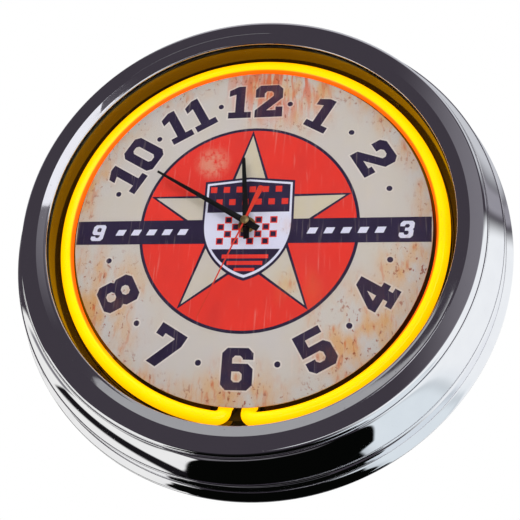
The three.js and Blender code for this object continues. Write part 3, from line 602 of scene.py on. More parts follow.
def printed_ink(name, colour, cloud_colour, bite):
    material, tree, shader, place = new_finish(name, {"Roughness": 0.42, "IOR": 1.48})
    area = rusty_area(tree, place)
    clouds = mottle(tree, place, 22, (0.35, 0.7), run=1.6)
    broad = mottle(tree, place, 15, (0.4, 0.62), 4.0, run=1.8)
    running = stain(tree, place, *RUN_PLACE)
    runs = mottle(tree, place, 4.5, (0.45, 0.56), run=7.0)
    streaks = mottle(tree, place, 2.6, (0.55, 0.68), run=4.0)
    flecks = mottle(tree, place, 2.6, (0.62, 0.68), run=1.3)
    scratches = mottle(tree, place, 1.8, (0.62, 0.8), 2.0, run=16.0)
    rubbed = stain(tree, place, *RUBBED_PLACE)
    grit = mottle(tree, place, 3.2, (0.3, 0.55), 4.0)
    ink = laid_over(tree, linear(colour), cloud_colour, clouds)
    ink = laid_over(tree, ink, "#d9a05c", area, broad, bite)
    ink = laid_over(tree, ink, "#d8602c", runs, running, bite)
    ink = laid_over(tree, ink, "#cc5e28", streaks, area, broad, bite)
    ink = laid_over(tree, ink, "#98401c", flecks, area, bite)
    ink = laid_over(tree, ink, "#e6d2c4", scratches, 0.2)
    ink = laid_over(tree, ink, "#e09a80", rubbed, grit, 0.75)
    tree.links.new(ink.outputs[2], shader.inputs["Base Color"])
    roughen(tree, shader, clouds, 0.38, 0.5)
    tooth = add(tree, "ShaderNodeTexNoise", {"Vector": place, "Scale": 1 / (0.9 * MM)})
    emboss(tree, shader, tooth, 0.012, 0.4)
    return material


CREAM = printed_ink("cream_ground", "#cbc4c0", "#cdc4b8", 0.85)
CREAM_INK = printed_ink("cream_ink", "#cdc4ba", "#cfc3a6", 0.6)
RED_INK = printed_ink("red_ink", "#ee3528", "#e23228", 0.12)
NAVY_INK = printed_ink("navy_ink", "#2b203c", "#302545", 0.06)
WHITE_INK = printed_ink("white_ink", "#dcdcf2", "#e2e2f4", 0.35)
EDGE_INK = printed_ink("pale_edge_ink", "#ddd5d0", "#d6ccc2", 0.5)
FINISHES["dial_print"] = CREAM

# %% [markdown]
# ## Hands and brass
# The hands are stamped from thin aluminium and painted: two matt black, one a bright red. The nut and the
# cap in the middle are turned brass, lacquered and slightly dulled, so their lines run round the axis.

# %% Painted hands and turned brass
FINISHES["hand_black"] = moulded("matt_black_enamel", "#0b0b0d", "#121214", 0.42, 0.6, 0.01)
FINISHES["hand_red"] = moulded("red_enamel", "#e03a26", "#d33420", 0.38, 0.6, 0.01)
FINISHES["hub_brass"] = worked_metal("turned_brass", "#f0d9a0", "#dcbf7c", 0.42, 0.12, (1, 0.05, 1))

# %% [markdown]
# ## Everything behind the dial
# These are the finishes of a small electrical appliance: satin powder coat on the cover, zinc-plated steel,
# ABS housings, nylon wheels, silicone leads, fibreglass board. Each has the grain of the way it was made:
# powder coat has an orange peel about a millimetre across, and moulded cases a spark-eroded skin.

# %% Housing, power supply and movement finishes
FINISHES["cover_paint"] = moulded("black_powder_coat", "#202124", "#27282b", 0.5, 1.1, 0.05)
FINISHES["zinc_steel"] = worked_metal("zinc_plated_steel", "#b9bcc2", "#8f9196", 0.32, 0.25)
FINISHES["nickel_steel"] = worked_metal("nickel_plated_steel", "#c7c4bc", "#aaa69d", 0.24, 0.15)
FINISHES["wheel_brass"] = worked_metal("stamped_brass", "#c9a95e", "#a98a47", 0.3, 0.15, (1, 1, 1))
FINISHES["gasket_rubber"] = moulded("black_neoprene", "#161616", "#1f1f1f", 0.8, 0.7, 0.04)
FINISHES["boot_rubber"] = moulded("black_silicone_rubber", "#1a1a1b", "#242425", 0.7, 0.5, 0.03)
FINISHES["lead_silicone"] = moulded("white_silicone_lead", "#dcd9cf", "#cfcabd", 0.55, 0.8, 0.02)
FINISHES["lead_black"] = moulded("black_pvc_lead", "#17171a", "#222226", 0.5, 0.8, 0.02)
FINISHES["clip_plastic"] = moulded("clear_polycarbonate", "#e3e6e2", "#d3d8d2", 0.18, 0.8, 0.01, Alpha=0.35)
FINISHES["supply_plastic"] = moulded("grey_abs_housing", "#2c2d30", "#34353a", 0.5, 0.45, 0.04)
FINISHES["black_plastic"] = moulded("black_abs_moulding", "#161617", "#1e1e20", 0.45, 0.45, 0.04)
FINISHES["rocker_red"] = moulded("red_nylon_rocker", "#a8231c", "#991d17", 0.35, 0.5, 0.02)
FINISHES["knob_red"] = moulded("red_abs_knob", "#b8251d", "#a51f18", 0.4, 0.4, 0.02)
FINISHES["wheel_nylon"] = moulded("white_acetal_wheel", "#e6e3da", "#dcd8cc", 0.42, 0.4, 0.01)
FINISHES["board_laminate"] = moulded("green_fibreglass_board", "#1f5a36", "#26683f", 0.45, 0.6, 0.02)
FINISHES["transformer_tape"] = moulded("yellow_polyester_tape", "#c9a23c", "#b98f2c", 0.3, 3.0, 0.05)
FINISHES["capacitor_sleeve"] = moulded("blue_shrink_sleeve", "#22304e", "#1b2742", 0.3, 2.0, 0.03)
FINISHES["rotor_ferrite"] = moulded("sintered_ferrite", "#3a3b3e", "#46474a", 0.6, 0.3, 0.02)


def banded(name, colour, band_colour, width_mm, axis, roughness, metallic, share=0.5):
    """Bands across one axis, such as the turns of a winding or the print on a cell's jacket."""
    material, tree, shader, place = new_finish(name, {"Metallic": metallic, "Roughness": roughness})
    along = add(tree, "ShaderNodeSeparateXYZ", {0: place}).outputs[axis]
    turns = add(tree, "ShaderNodeMath", {0: along, 1: width_mm * MM}, operation="DIVIDE")
    saw = add(tree, "ShaderNodeMath", {0: turns}, operation="FRACT")
    edge = add(tree, "ShaderNodeMapRange", {"Value": saw, "From Min": share - 0.03, "From Max": share + 0.03})
    tint = add(
        tree, "ShaderNodeMix", {0: edge, 6: linear(colour), 7: linear(band_colour)}, data_type="RGBA"
    )
    tree.links.new(tint.outputs[2], shader.inputs["Base Color"])
    round_wire = add(tree, "ShaderNodeMath", {0: saw, 1: 0.5}, operation="PINGPONG")
    emboss(tree, shader, round_wire, 0.05, 0.4)
    return material


# The copper wire is 0.15 mm thick. Its turns are drawn 0.5 mm apart, the finest that shows.
FINISHES["coil_copper"] = banded("enamelled_copper_winding", "#b0623a", "#8e4a28", 0.5, "X", 0.35, 1.0)
FINISHES["cell_jacket"] = banded("printed_cell_jacket", "#b8862b", "#e8dfc8", 31.0, "X", 0.3, 0.3, 0.82)
print(len(FINISHES), "finishes")

# %% [markdown]
# ## Two node trees for what repeats
# `swept_tube` carries a round section along a path: the neon tube and the leads are both made this way, as a
# glass bender and a wire mill would. `ring_of_copies` puts copies of one small piece round a circle: screws,
# their posts, and the dots on the dial. Each copy can turn a little by chance, as real screws stop anywhere,
# and the seed keeps that chance the same on every run.

# %% Geometry node trees
def new_tree(name, inputs, output):
    tree = bpy.data.node_groups.new(name, "GeometryNodeTree")
    for label, kind in inputs.items():
        tree.interface.new_socket(label, in_out="INPUT", socket_type=kind)
    tree.interface.new_socket(output, in_out="OUTPUT", socket_type="NodeSocketGeometry")
    print("node tree", name)
    return tree, add(tree, "NodeGroupInput").outputs


def close_tree(tree, shape, given, output):
    """Ends a tree: real meshes, with their material."""
    real = add(tree, "GeometryNodeRealizeInstances", {"Geometry": shape})
    covered = add(tree, "GeometryNodeSetMaterial", {"Geometry": real, "Material": given["Material"]})
    add(tree, "NodeGroupOutput", {output: covered})
    return tree


def swept_tube_tree():
    sizes = {"Radius": "NodeSocketFloat", "Sides": "NodeSocketInt", "Material": "NodeSocketMaterial"}
    tree, given = new_tree("swept_tube", {"Path": "NodeSocketGeometry", **sizes}, "Tube")
    path = add(tree, "GeometryNodeMeshToCurve", {"Mesh": given["Path"]})
    section = {"Resolution": given["Sides"], "Radius": given["Radius"]}
    circle = add(tree, "GeometryNodeCurvePrimitiveCircle", section)
    tube = {"Curve": path, "Profile Curve": circle, "Fill Caps": True}
    return close_tree(tree, add(tree, "GeometryNodeCurveToMesh", tube), given, "Tube")


def ring_of_copies_tree():
    floats = {label: "NodeSocketFloat" for label in ("Radius", "Start", "Scatter")}
    counts = {label: "NodeSocketInt" for label in ("Count", "Seed")}
    inputs = {"Piece": "NodeSocketGeometry", **counts, **floats, "Material": "NodeSocketMaterial"}
    tree, given = new_tree("ring_of_copies", inputs, "Ring")
    circle = add(tree, "GeometryNodeMeshCircle", {"Vertices": given["Count"], "Radius": given["Radius"]})
    start = add(tree, "ShaderNodeMath", {0: given["Start"], 1: -1.0}, operation="MULTIPLY")
    facing = add(tree, "ShaderNodeCombineXYZ", {"X": math.pi / 2, "Y": start})
    points = add(tree, "GeometryNodeTransform", {"Geometry": circle, "Rotation": facing})
    step = add(tree, "ShaderNodeMath", {0: -FULL_TURN, 1: given["Count"]}, operation="DIVIDE")
    index = add(tree, "GeometryNodeInputIndex")
    turn = add(tree, "ShaderNodeMath", {0: index, 1: step, 2: start}, operation="MULTIPLY_ADD")
    least = add(tree, "ShaderNodeMath", {0: given["Scatter"], 1: -1.0}, operation="MULTIPLY")
    chance = {"Min": least, "Max": given["Scatter"], "Seed": given["Seed"]}
    by_chance = add(tree, "FunctionNodeRandomValue", chance, data_type="FLOAT").outputs[1]
    whole_turn = add(tree, "ShaderNodeMath", {0: turn, 1: by_chance}, operation="ADD")
    rotation = add(tree, "ShaderNodeCombineXYZ", {"Y": whole_turn})
    copies = {"Points": points, "Instance": given["Piece"], "Rotation": rotation}
    return close_tree(tree, add(tree, "GeometryNodeInstanceOnPoints", copies), given, "Ring")


SWEPT_TUBE = swept_tube_tree()
RING_OF_COPIES = ring_of_copies_tree()


def grow(piece, tree, **values):
    """Runs a node tree on a piece and keeps the plain mesh that it makes."""
    modifier = piece.modifiers.new(tree.name, "NODES")
    modifier.node_group = tree
    for item in tree.interface.items_tree:
        if item.name in values:
            modifier[item.identifier] = values[item.name]
    return shade(apply_modifiers(piece))


def polyline(name, points):
    """A path of edges through points in metres."""
    bm = bmesh.new()
    spots = [bm.verts.new(point) for point in points]
    for first, second in zip(spots, spots[1:]):
        bm.edges.new((first, second))
    return mesh_object(name, bm)


# %% [markdown]
# ## The rim
# A spinner presses a turning disc of steel over a form, which gives the rim its rolled lip, its sloping
# cone, the flat front, and the long hollow sweep of its side. The bead and the groove near the wall stiffen
# it. The outline is drawn once and turned: straight runs get extra points near their ends, because chrome
# shows every waver in the shading, and the cove is a formula, so it has no flats.

# %% Spun rim
COVE_FRONT = (166.6, -47.2)
COVE_BACK = (179.9, -23.9)


def cove(count, inset=0.0):
    """The hollow side of the rim, from front to back."""
    shares = [i / count for i in range(count + 1)]
    return [
        (
            COVE_FRONT[0] + (COVE_BACK[0] - COVE_FRONT[0]) * share**1.3 - inset,
            COVE_FRONT[1] + (COVE_BACK[1] - COVE_FRONT[1]) * share,
        )
        for share in shares
    ]


rim_outside = [
    *arc((147.2, -48.1), 0.9, 150, 258, 8),
    *straight((148.0, -49.25), (153.0, -50.85)),
    *straight((154.0, -51.1), (162.3, -51.2)),
    *arc((162.6, -48.2), 3.0, 272, 356, 12),
    (165.35, -48.0),
    (165.3, -47.7),
    (165.5, -47.5),
    (166.3, -47.55),
    *cove(24),
    *arc((180.35, -23.35), 0.45, 195, 330, 6),
    (181.05, -22.5),
    *straight((181.25, -22.1), (183.65, -8.5)),
    (183.0, -8.0),
    (182.85, -7.6),
    (183.0, -7.2),
    *arc((184.1, -6.5), 0.7, 200, 300, 4),
    (185.2, -6.4),
    (186.6, -5.4),
    (188.2, -3.9),
    (189.4, -2.4),
    (189.9, -1.2),
    (190.0, 0.0),
]
rim_inside = [
    (184.5, 0.0),
    (184.5, -1.4),
    (187.2, -1.7),
    (181.9, -6.4),
    (179.9, -21.6),
    (178.4, -23.0),
    *reversed(cove(8, 1.7)),
    (163.8, -46.8),
    (161.6, -49.8),
    (153.7, -49.5),
    (147.6, -47.5),
]
rim = lathe("spun_rim", rim_outside + rim_inside, 288, 28)
finish_piece(rim, "case", FINISHES["rim_chrome"], "rim_chrome", "rim_shell")

# %% [markdown]
# ## Channel pan, glass and gasket
# One vacuum-formed black pan makes the channel that the tube lies in and the raised middle that carries the
# dial. A hole in its floor lets the two ends of the tube through. The glass drops into the wall of the pan
# on a thin gasket. All three are turned shapes; the hole is a boolean cut, as a trimming tool would make it.

# %% Turned housing pieces
SCREW_RING_MM = 172
pan_outline = [
    (4.2, -28.5),
    *straight((4.6, -28.5), (117.2, -28.5), 0.5),
    *arc((117.4, -27.9), 0.6, 270, 360, 5),
    *straight((118.0, -27.5), (118.0, -19.0)),
    *arc((119.0, -19.0), 1.0, 180, 90, 5),
    *straight((119.4, -18.0), (145.2, -18.0)),
    *arc((146.1, -19.0), 1.0, 90, 0, 5),
    *straight((147.1, -19.4), (147.1, -42.2)),
    (147.4, -42.5),
    (149.3, -42.5),
    (149.6, -42.2),
    (149.6, -18.0),
    (177.0, -18.0),
    (177.0, -21.4),
    (179.5, -21.4),
    (179.5, -15.5),
    (115.5, -15.5),
    (115.5, -26.0),
    (4.2, -26.0),
]
pan = lathe("channel_pan_formed", pan_outline)
cut_away(pan, cutter_block("tube_opening", (0, -16.75, -129), (38, 5, 20)))
finish_piece(pan, "case", FINISHES["channel_black"], "channel_black", "channel_pan")

lens_outline = [
    (0, -47.1),
    *straight((1.0, -47.1), (148.5, -47.1)),
    (149.0, -46.6),
    (149.0, -45.1),
    *straight((148.5, -44.6), (1.0, -44.6)),
    (0, -44.6),
]
lens = lathe("front_pane", lens_outline, 128)
finish_piece(lens, "case", FINISHES["front_glass"], "front_glass", "glass_lens")
gasket_outline = [
    *arc((147.5, -43.9), 0.4, 180, 270, 3),
    *arc((148.6, -43.9), 0.4, 270, 360, 3),
    *arc((148.6, -43.2), 0.4, 0, 90, 3),
    *arc((147.5, -43.2), 0.4, 90, 180, 3),
]
gasket = lathe("pane_gasket", gasket_outline, 128)
finish_piece(gasket, "case", FINISHES["gasket_rubber"], "gasket_rubber", "lens_gasket")


SCREWS = 6
SCREW_START_DEG = 30


def round_copies(piece, count, radius_mm, start_deg, finish, scatter=0.0, seed=7):
    """Sets copies of a small piece round the clock."""
    return grow(
        piece,
        RING_OF_COPIES,
        Count=count,
        Radius=radius_mm * MM,
        Start=math.radians(start_deg),
        Scatter=scatter,
        Seed=seed,
        Material=finish,
    )


def post_ring(name, outline, finish, slot):
    """One post behind each cover screw."""
    post = lathe(name, outline, 20)
    ring = round_copies(post, SCREWS, SCREW_RING_MM, SCREW_START_DEG, FINISHES[finish])
    finish_piece(ring, "case", FINISHES[finish], slot)


pan_post = [(1.9, -15.8), (4.0, -15.8), (4.0, -9.6), (3.7, -9.3), (1.9, -9.3)]
rim_post = [(1.5, -28.6), (4.0, -28.6), (4.0, -18.6), (3.7, -18.3), (1.5, -18.3)]
post_ring("pan_spacers", pan_post, "channel_black", "channel_black")
post_ring("rim_posts", rim_post, "zinc_steel", "rim_chrome")

# %% [markdown]
# ## The neon ring
# A glass bender heats one long tube and wraps it round a template. Both ends turn in at the bottom, dip under
# the edge of the dial and go through the floor to their electrodes. The path is the ring's arc with two
# rounded corners at each end, worked out from the ring radius and the bend radius.

# %% Neon tube
TUBE_Y = -26.8
END_X = 8.65  # half the distance between the two ends
END_Z = -128  # where they go through the floor
END_Y = -11.4
BEND = 6
DIP = math.radians(40)


def bend(corner, before, after, radius, steps):
    """Points round a bend between two straight runs that meet at a corner."""
    turn = before.angle(after)
    start = corner - before * radius * math.tan(turn / 2)
    axis = before.cross(after).normalized()
    centre = start + axis.cross(before) * radius
    return [Matrix.Rotation(turn * i / steps, 3, axis) @ (start - centre) + centre for i in range(steps + 1)]


def tube_path():
    half_gap = math.asin((END_X + BEND) / TUBE_RING_MM)
    along = Vector((-math.cos(half_gap), 0, -math.sin(half_gap)))
    dip = Vector((0, math.sin(DIP), math.cos(DIP)))
    ring_end = Vector((math.sin(half_gap) * TUBE_RING_MM, TUBE_Y, -math.cos(half_gap) * TUBE_RING_MM))
    first = ring_end + along * BEND * math.tan(along.angle(dip) / 2)
    second = first - dip * (-END_Z + first.z) / math.cos(DIP)
    right = bend(first, along, dip, BEND, 12) + bend(second, dip, Vector((0, 1, 0)), BEND, 8)
    right.append(Vector((second.x, END_Y, second.z)))
    left = [Vector((-p.x, p.y, p.z)) for p in reversed(right)]
    steps = 220
    turns = [math.pi + half_gap + (FULL_TURN - 2 * half_gap) * i / steps for i in range(1, steps)]
    ring = [Vector((math.sin(a) * TUBE_RING_MM, TUBE_Y, math.cos(a) * TUBE_RING_MM)) for a in turns]
    return [p * MM for p in left + ring + right]


tube_finish = FINISHES["lit_glass"]
tube = grow(
    polyline("neon_ring", tube_path()), SWEPT_TUBE, Radius=TUBE_MM * MM, Sides=32, Material=tube_finish
)
finish_piece(tube, "case", tube_finish, "lit_glass", "neon_tube")

BOOT_BACK = -9.3
boot_outline = [
    (0, -11.0),
    (5.1, -11.0),
    (5.1, -13.6),
    (6.2, -13.6),
    (6.6, -13.2),
    (6.6, BOOT_BACK - 0.4),
    (6.2, BOOT_BACK),
    (0, BOOT_BACK),
]
LEAD_STEPS = 24
LEAD_MM = 1.6


def lead_route(side):
    """A lead's curve from its boot to the supply, leaving and arriving upwards."""
    start = Vector((side * END_X, -12.4, END_Z + 7.2))
    end = Vector((side * 30, -15.4, -97.2))
    pull = Vector((0, 0, 12))
    corners = (start, start + pull, end - pull, end)
    route = []
    for i in range(LEAD_STEPS + 1):
        t = i / LEAD_STEPS
        weights = ((1 - t) ** 3, 3 * t * (1 - t) ** 2, 3 * t * t * (1 - t), t**3)
        route.append(sum((c * w for c, w in zip(corners, weights)), Vector()) * MM)
    return route


silicone = FINISHES["lead_silicone"]
for side, label in ((-1, "left"), (1, "right")):
    boot = lathe(f"tube_boot_{label}", boot_outline, 32, place=(side * END_X, END_Z))
    finish_piece(boot, "case", FINISHES["boot_rubber"], "boot_rubber", f"electrode_boot_{label}")
    path = polyline(f"tube_lead_{label}", lead_route(side))
    lead = grow(path, SWEPT_TUBE, Radius=LEAD_MM * MM, Sides=16, Material=silicone)
    finish_piece(lead, "case", silicone, "lead_silicone", f"high_voltage_lead_{label}")

# %% [markdown]
# ## The dial and its print
# A screen printer lays one flat ink on another: red disc, cream star, navy band, a shield in the middle, and
# the hour numerals. Each ink here is a very thin sheet, 0.02 mm above the one below it, cut to its shape as
# a stencil is. A pale edge under a navy numeral is the same outline, grown by a millimetre.

# %% Dial plate and stencils
INK_MM = 0.02
PLATE_FRONT = -29.96
dial_plate = lathe(
    "dial_plate",
    [
        (4.2, PLATE_FRONT),
        *straight((4.6, PLATE_FRONT), (131.5, PLATE_FRONT)),
        *arc((131.6, -29.56), 0.4, 280, 360, 4),
        (132.0, -29.1),
        (131.7, -28.8),
        (4.2, -28.8),
    ],
)
finish_piece(dial_plate, "case", CREAM, "dial_print", "dial")


def print_ink(name, outlines, layer, ink):
    """Lays one ink on the dial. Layer 1 is the lowest."""
    front = PLATE_FRONT - layer * INK_MM
    sheet = cut_sheet(name, outlines, front, front + INK_MM * 1.5)
    return finish_piece(sheet, "case", ink, "dial_print")


def circle(radius, place=(0, 0), steps=180):
    return [(place[0] + x, place[1] + z) for x, z in arc((0, 0), radius, 0, 360 - 360 / steps, steps - 1)]


def grown(outline, by):
    """The same outline, moved outwards by a distance all round. It runs anticlockwise."""
    corners = [Vector(point) for point in outline]
    moved = []
    for i, corner in enumerate(corners):
        into = (corner - corners[i - 1]).normalized()
        out = (corners[(i + 1) % len(corners)] - corner).normalized()
        first, second = Vector((into.y, -into.x)), Vector((out.y, -out.x))
        moved.append(tuple(corner + (first + second) * by / max(1 + first.dot(second), 0.3)))
    return moved


CENTRE_HOLE = circle(4.2, steps=48)
DISC_MM = 81.7
NAVY_RING_MM = 2.3
print_ink("navy_disc", [circle(DISC_MM), CENTRE_HOLE], 1, NAVY_INK)
print_ink("red_disc", [circle(DISC_MM - NAVY_RING_MM), CENTRE_HOLE], 2, RED_INK)
print("dial plate and its two discs")

# %% [markdown]
# ## Star and band
# A five-pointed star is ten corners, in turn on a large circle and a small one. The small circle is where
# the star's five straight lines cross. The band is a strip across the dial, cut short by the dial's edge.

# %% Star and band
STAR_MM = 79.5
STAR_EDGE_MM = 2.2
STAR_WAIST = STAR_MM * math.sin(math.radians(18)) / math.sin(math.radians(54))
star = []
for i in range(10):
    reach = STAR_MM if i % 2 == 0 else STAR_WAIST
    turn = math.radians(90 + 36 * i)
    star.append((reach * math.cos(turn), reach * math.sin(turn)))
print_ink("star_outline", [star, CENTRE_HOLE], 3, NAVY_INK)
print_ink("cream_star", [grown(star, -STAR_EDGE_MM), CENTRE_HOLE], 4, CREAM_INK)

BAND = (-14.4, 4.7)
low_half, high_half = [math.sqrt((DIAL_MM - 0.6) ** 2 - z * z) for z in BAND]
band = [(-low_half, BAND[0]), (low_half, BAND[0]), (high_half, BAND[1]), (-high_half, BAND[1])]
print_ink("navy_band", [band, CENTRE_HOLE], 5, NAVY_INK)


def slanted(x, z, half_width, half_height, lean):
    return [
        (x - half_width - lean, z - half_height),
        (x + half_width - lean, z - half_height),
        (x + half_width + lean, z + half_height),
        (x - half_width + lean, z + half_height),
    ]


BAND_MIDDLE = sum(BAND) / 2
DASH = {"half_width": 3.1, "half_height": 2.3, "lean": 1.1}
DASHES_AT = (48, 60, 72, 84, 96)
dashes = [slanted(side * x, BAND_MIDDLE, **DASH) for side in (-1, 1) for x in DASHES_AT]
print_ink("band_dashes", dashes, 6, WHITE_INK)
print("star of", len(star), "corners, band with", len(dashes), "dashes")

# %% [markdown]
# ## The shield
# The middle of the dial carries a plain heater shield, the shape of a hundred generic badges: straight sides
# that curve in to a point. It is drawn from two arcs. Bands of navy and white cross it, filled with chequers
# and bars where a badge would carry words.

# %% Shield
SHIELD_HALF = 34
SHIELD_TOP = 36
SHIELD_STRAIGHT = 2  # the sides are straight down to here
SHIELD_POINT = -43
LINE_INSET = 1.7
GROUND_INSET = 3.3
WHITE_BAND = (-18.8, 10.4)  # the heights between which the ground is white


def shield(inset):
    """Runs anticlockwise from the top left corner, down the left side, round the point and up."""
    half, top, point = SHIELD_HALF - inset, SHIELD_TOP - inset, SHIELD_POINT + 1.35 * inset
    drop = SHIELD_STRAIGHT - point
    radius = (half * half + drop * drop) / (2 * half)
    sweep = math.degrees(math.asin(drop / radius))
    right = arc((half - radius, SHIELD_STRAIGHT), radius, -sweep, 0, 24)
    left = [(-x, z) for x, z in right[:0:-1]]
    return left + right + [(half, top), (0, top + 3.2), (-half, top)]


def shield_slice(inset, low, high):
    """The part of the shield between two heights."""
    outline = shield(inset)
    kept = []
    for (x, z), (next_x, next_z) in zip(outline, outline[1:] + outline[:1]):
        if low <= z <= high:
            kept.append((x, z))
        for level in (low, high):
            if (z - level) * (next_z - level) < 0:
                share = (level - z) / (next_z - z)
                kept.append((x + (next_x - x) * share, level))
    turn = {point: math.atan2(point[1] - (low + high) / 2, point[0]) for point in kept}
    return sorted(set(kept), key=turn.get)


print_ink("shield_edge", [shield(0), CENTRE_HOLE], 6, NAVY_INK)
print_ink("shield_line", [shield(LINE_INSET), CENTRE_HOLE], 7, WHITE_INK)
print_ink("shield_ground", [shield(GROUND_INSET), CENTRE_HOLE], 8, NAVY_INK)
print_ink("shield_middle", [shield_slice(GROUND_INSET, *WHITE_BAND), CENTRE_HOLE], 9, WHITE_INK)


def block(x, z, half_x, half_z):
    left, right, low, high = x - half_x, x + half_x, z - half_z, z + half_z
    return [(left, low), (right, low), (right, high), (left, high)]


CHEQUER_HALF = 2.4
CHEQUER_PITCH = 4.92
CHEQUER_ROWS = (18.9, 29.1)
chequers = [
    block((i - 5.5) * CHEQUER_PITCH, z, CHEQUER_HALF, CHEQUER_HALF)
    for row, z in enumerate(CHEQUER_ROWS)
    for i in range(12)
    if (i + row) % 2
]
print_ink("shield_chequers", chequers, 9, RED_INK)
bars = [block(0, -24.5, 17, 1.5), block(0, -29.5, 13, 1.5), block(0, -34.5, 7.5, 1.2)]
print_ink("shield_bars", bars, 9, RED_INK)
CHECK = 5.6
CHECKS_MIDDLE = -4.2
checks = [
    block((i - 3.5) * CHECK, CHECKS_MIDDLE + (1.5 - row) * CHECK, CHECK / 2, CHECK / 2)
    for row in range(4)
    for i in range(8)
    if (i + row) % 2
]
print_ink("shield_check_edges", [grown(check, -0.12) for check in checks], 10, RED_INK)
print_ink("shield_checks", [grown(check, -1.0) for check in checks], 11, NAVY_INK)
print("shield with", len(chequers), "chequers and", len(checks), "checks")

# %% [markdown]
# ## Hour numerals
# The numerals are the plain block figures of sports shirts, each cut from straight strokes with its corners
# nipped off. They are drawn on a grid 12 wide and 16 high. A numeral is a list of loops, the holes last.
# Above the band they stand with their tops outwards. Below it they stand the right way up.

# %% Block figures
FIGURE_W, FIGURE_H = 12, 16
BOWL = [(5, 3), (7, 3), (8, 4), (8, 12), (7, 13), (5, 13), (4, 12), (4, 4)]
SIX = [
    [(2, 0), (10, 0), (12, 2), (12, 8), (10, 10), (4, 10), (4, 12), (5, 13), (7, 13), (8, 12), (8, 11.5),
     (12, 11.5), (12, 14), (10, 16), (2, 16), (0, 14), (0, 2)],
    [(5, 3), (7, 3), (8, 4), (8, 6), (7, 7), (4, 7), (4, 4)],
]
FIGURES = {
    "0": [[(2, 0), (10, 0), (12, 2), (12, 14), (10, 16), (2, 16), (0, 14), (0, 2)], BOWL],
    "1": [[(0, 0), (10, 0), (10, 3), (7, 3), (7, 16), (4, 16), (0, 14), (0, 11), (3, 12), (3, 3), (0, 3)]],
    "2": [[(0, 0), (12, 0), (12, 5), (9, 5), (9, 3.4), (5, 3.4), (12, 9.5), (12, 14), (10, 16), (2, 16),
           (0, 14), (0, 10), (4, 10), (4, 12), (5, 13), (7, 13), (8, 12), (8, 10.6), (0, 3.6)]],
    "3": [[(2, 0), (10, 0), (12, 2), (12, 7), (11, 8.2), (12, 9.4), (12, 14), (10, 16), (2, 16), (0, 14),
           (0, 11), (4, 11), (4, 12), (5, 13), (7, 13), (8, 12), (8, 10.5), (7, 9.6), (4.5, 9.6), (4.5, 6.8),
           (7, 6.8), (8, 5.8), (8, 4), (7, 3), (5, 3), (4, 4), (4, 5), (0, 5), (0, 2)]],
    "4": [[(4, 0), (12, 0), (12, 2.6), (10, 2.6), (10, 4.4), (12, 4.4), (12, 7.4), (10, 7.4), (10, 16),
           (6, 16), (0, 7.4), (0, 4.4), (6, 4.4), (6, 2.6), (4, 2.6)],
          [(3.6, 7.4), (6, 7.4), (6, 11.2)]],
    "5": [[(0, 2), (2, 0), (10, 0), (12, 2), (12, 8), (10, 10), (4, 10), (4, 13), (11, 13), (11, 16), (0, 16),
           (0, 7), (7, 7), (8, 6), (8, 4), (7, 3), (5, 3), (4, 4), (4, 5), (0, 5)]],
    "6": SIX,
    "7": [[(3, 0), (7.4, 0), (12, 11.5), (12, 16), (0, 16), (0, 11), (3.4, 11), (3.4, 12.8), (8, 12.8)]],
    "8": [[(2, 0), (10, 0), (12, 2), (12, 7), (11, 8.2), (12, 9.4), (12, 14), (10, 16), (2, 16), (0, 14),
           (0, 9.4), (1, 8.2), (0, 7), (0, 2)],
          [(5, 3), (7, 3), (8, 4), (8, 5.8), (7, 6.8), (5, 6.8), (4, 5.8), (4, 4)],
          [(5, 9.6), (7, 9.6), (8, 10.6), (8, 12), (7, 13), (5, 13), (4, 12), (4, 10.6)]],
    "9": [[(FIGURE_W - x, FIGURE_H - z) for x, z in loop] for loop in SIX],
}


def numeral(text, height_mm, middle, turn_deg, edge=0.0, lean=0.0):
    """Loops of a numeral, centred on a place, turned clockwise, and grown by an edge width."""
    size = height_mm / FIGURE_H
    gap = 1.6
    widths = [10 if figure == "1" else FIGURE_W for figure in text]
    start = -(sum(widths) + gap * (len(text) - 1)) / 2
    turn = Matrix.Rotation(-math.radians(turn_deg), 2)
    loops = []
    for figure, width in zip(text, widths):
        for i, loop in enumerate(FIGURES[figure]):
            up = [(z - FIGURE_H / 2) * size for _, z in loop]
            flat = [((x + start) * size + lean * z, z) for (x, _), z in zip(loop, up)]
            if edge:
                flat = grown(flat, -edge if i else edge)
            loops.append([tuple(turn @ Vector(point) + Vector(middle)) for point in flat])
        start += width + gap
    return loops


NUMERAL_RING = 106
NUMERAL_H = 29
BAND_NUMERAL_H = 13
places = []
for hour in (10, 11, 12, 1, 2):
    places.append((str(hour), 30 * hour % 360, 30 * hour))
for hour in (8, 7, 6, 5, 4):
    places.append((str(hour), 30 * hour, 30 * hour + 180))


def on_dial(radius, clock_deg):
    turn = math.radians(clock_deg)
    return (radius * math.sin(turn), radius * math.cos(turn))


for name, edge, layer, ink in (("numeral_edges", 1.1, 1, EDGE_INK), ("numerals", 0.0, 2, NAVY_INK)):
    loops = []
    for text, clock_deg, turn_deg in places:
        loops += numeral(text, NUMERAL_H, on_dial(NUMERAL_RING, clock_deg), turn_deg, edge)
    print_ink(name, loops, layer, ink)

band_loops = [
    loop
    for text, x in (("9", -114), ("3", 114))
    for loop in numeral(text, BAND_NUMERAL_H, (x, BAND_MIDDLE), 0, lean=0.18)
]
print_ink("band_numerals", band_loops, 6, WHITE_INK)
print(len(places) + 2, "numerals")

# %% [markdown]
# ## Half-hour dots
# A round dot stands between each two hours. It is one small disc, and the ring of copies sets twelve of it.

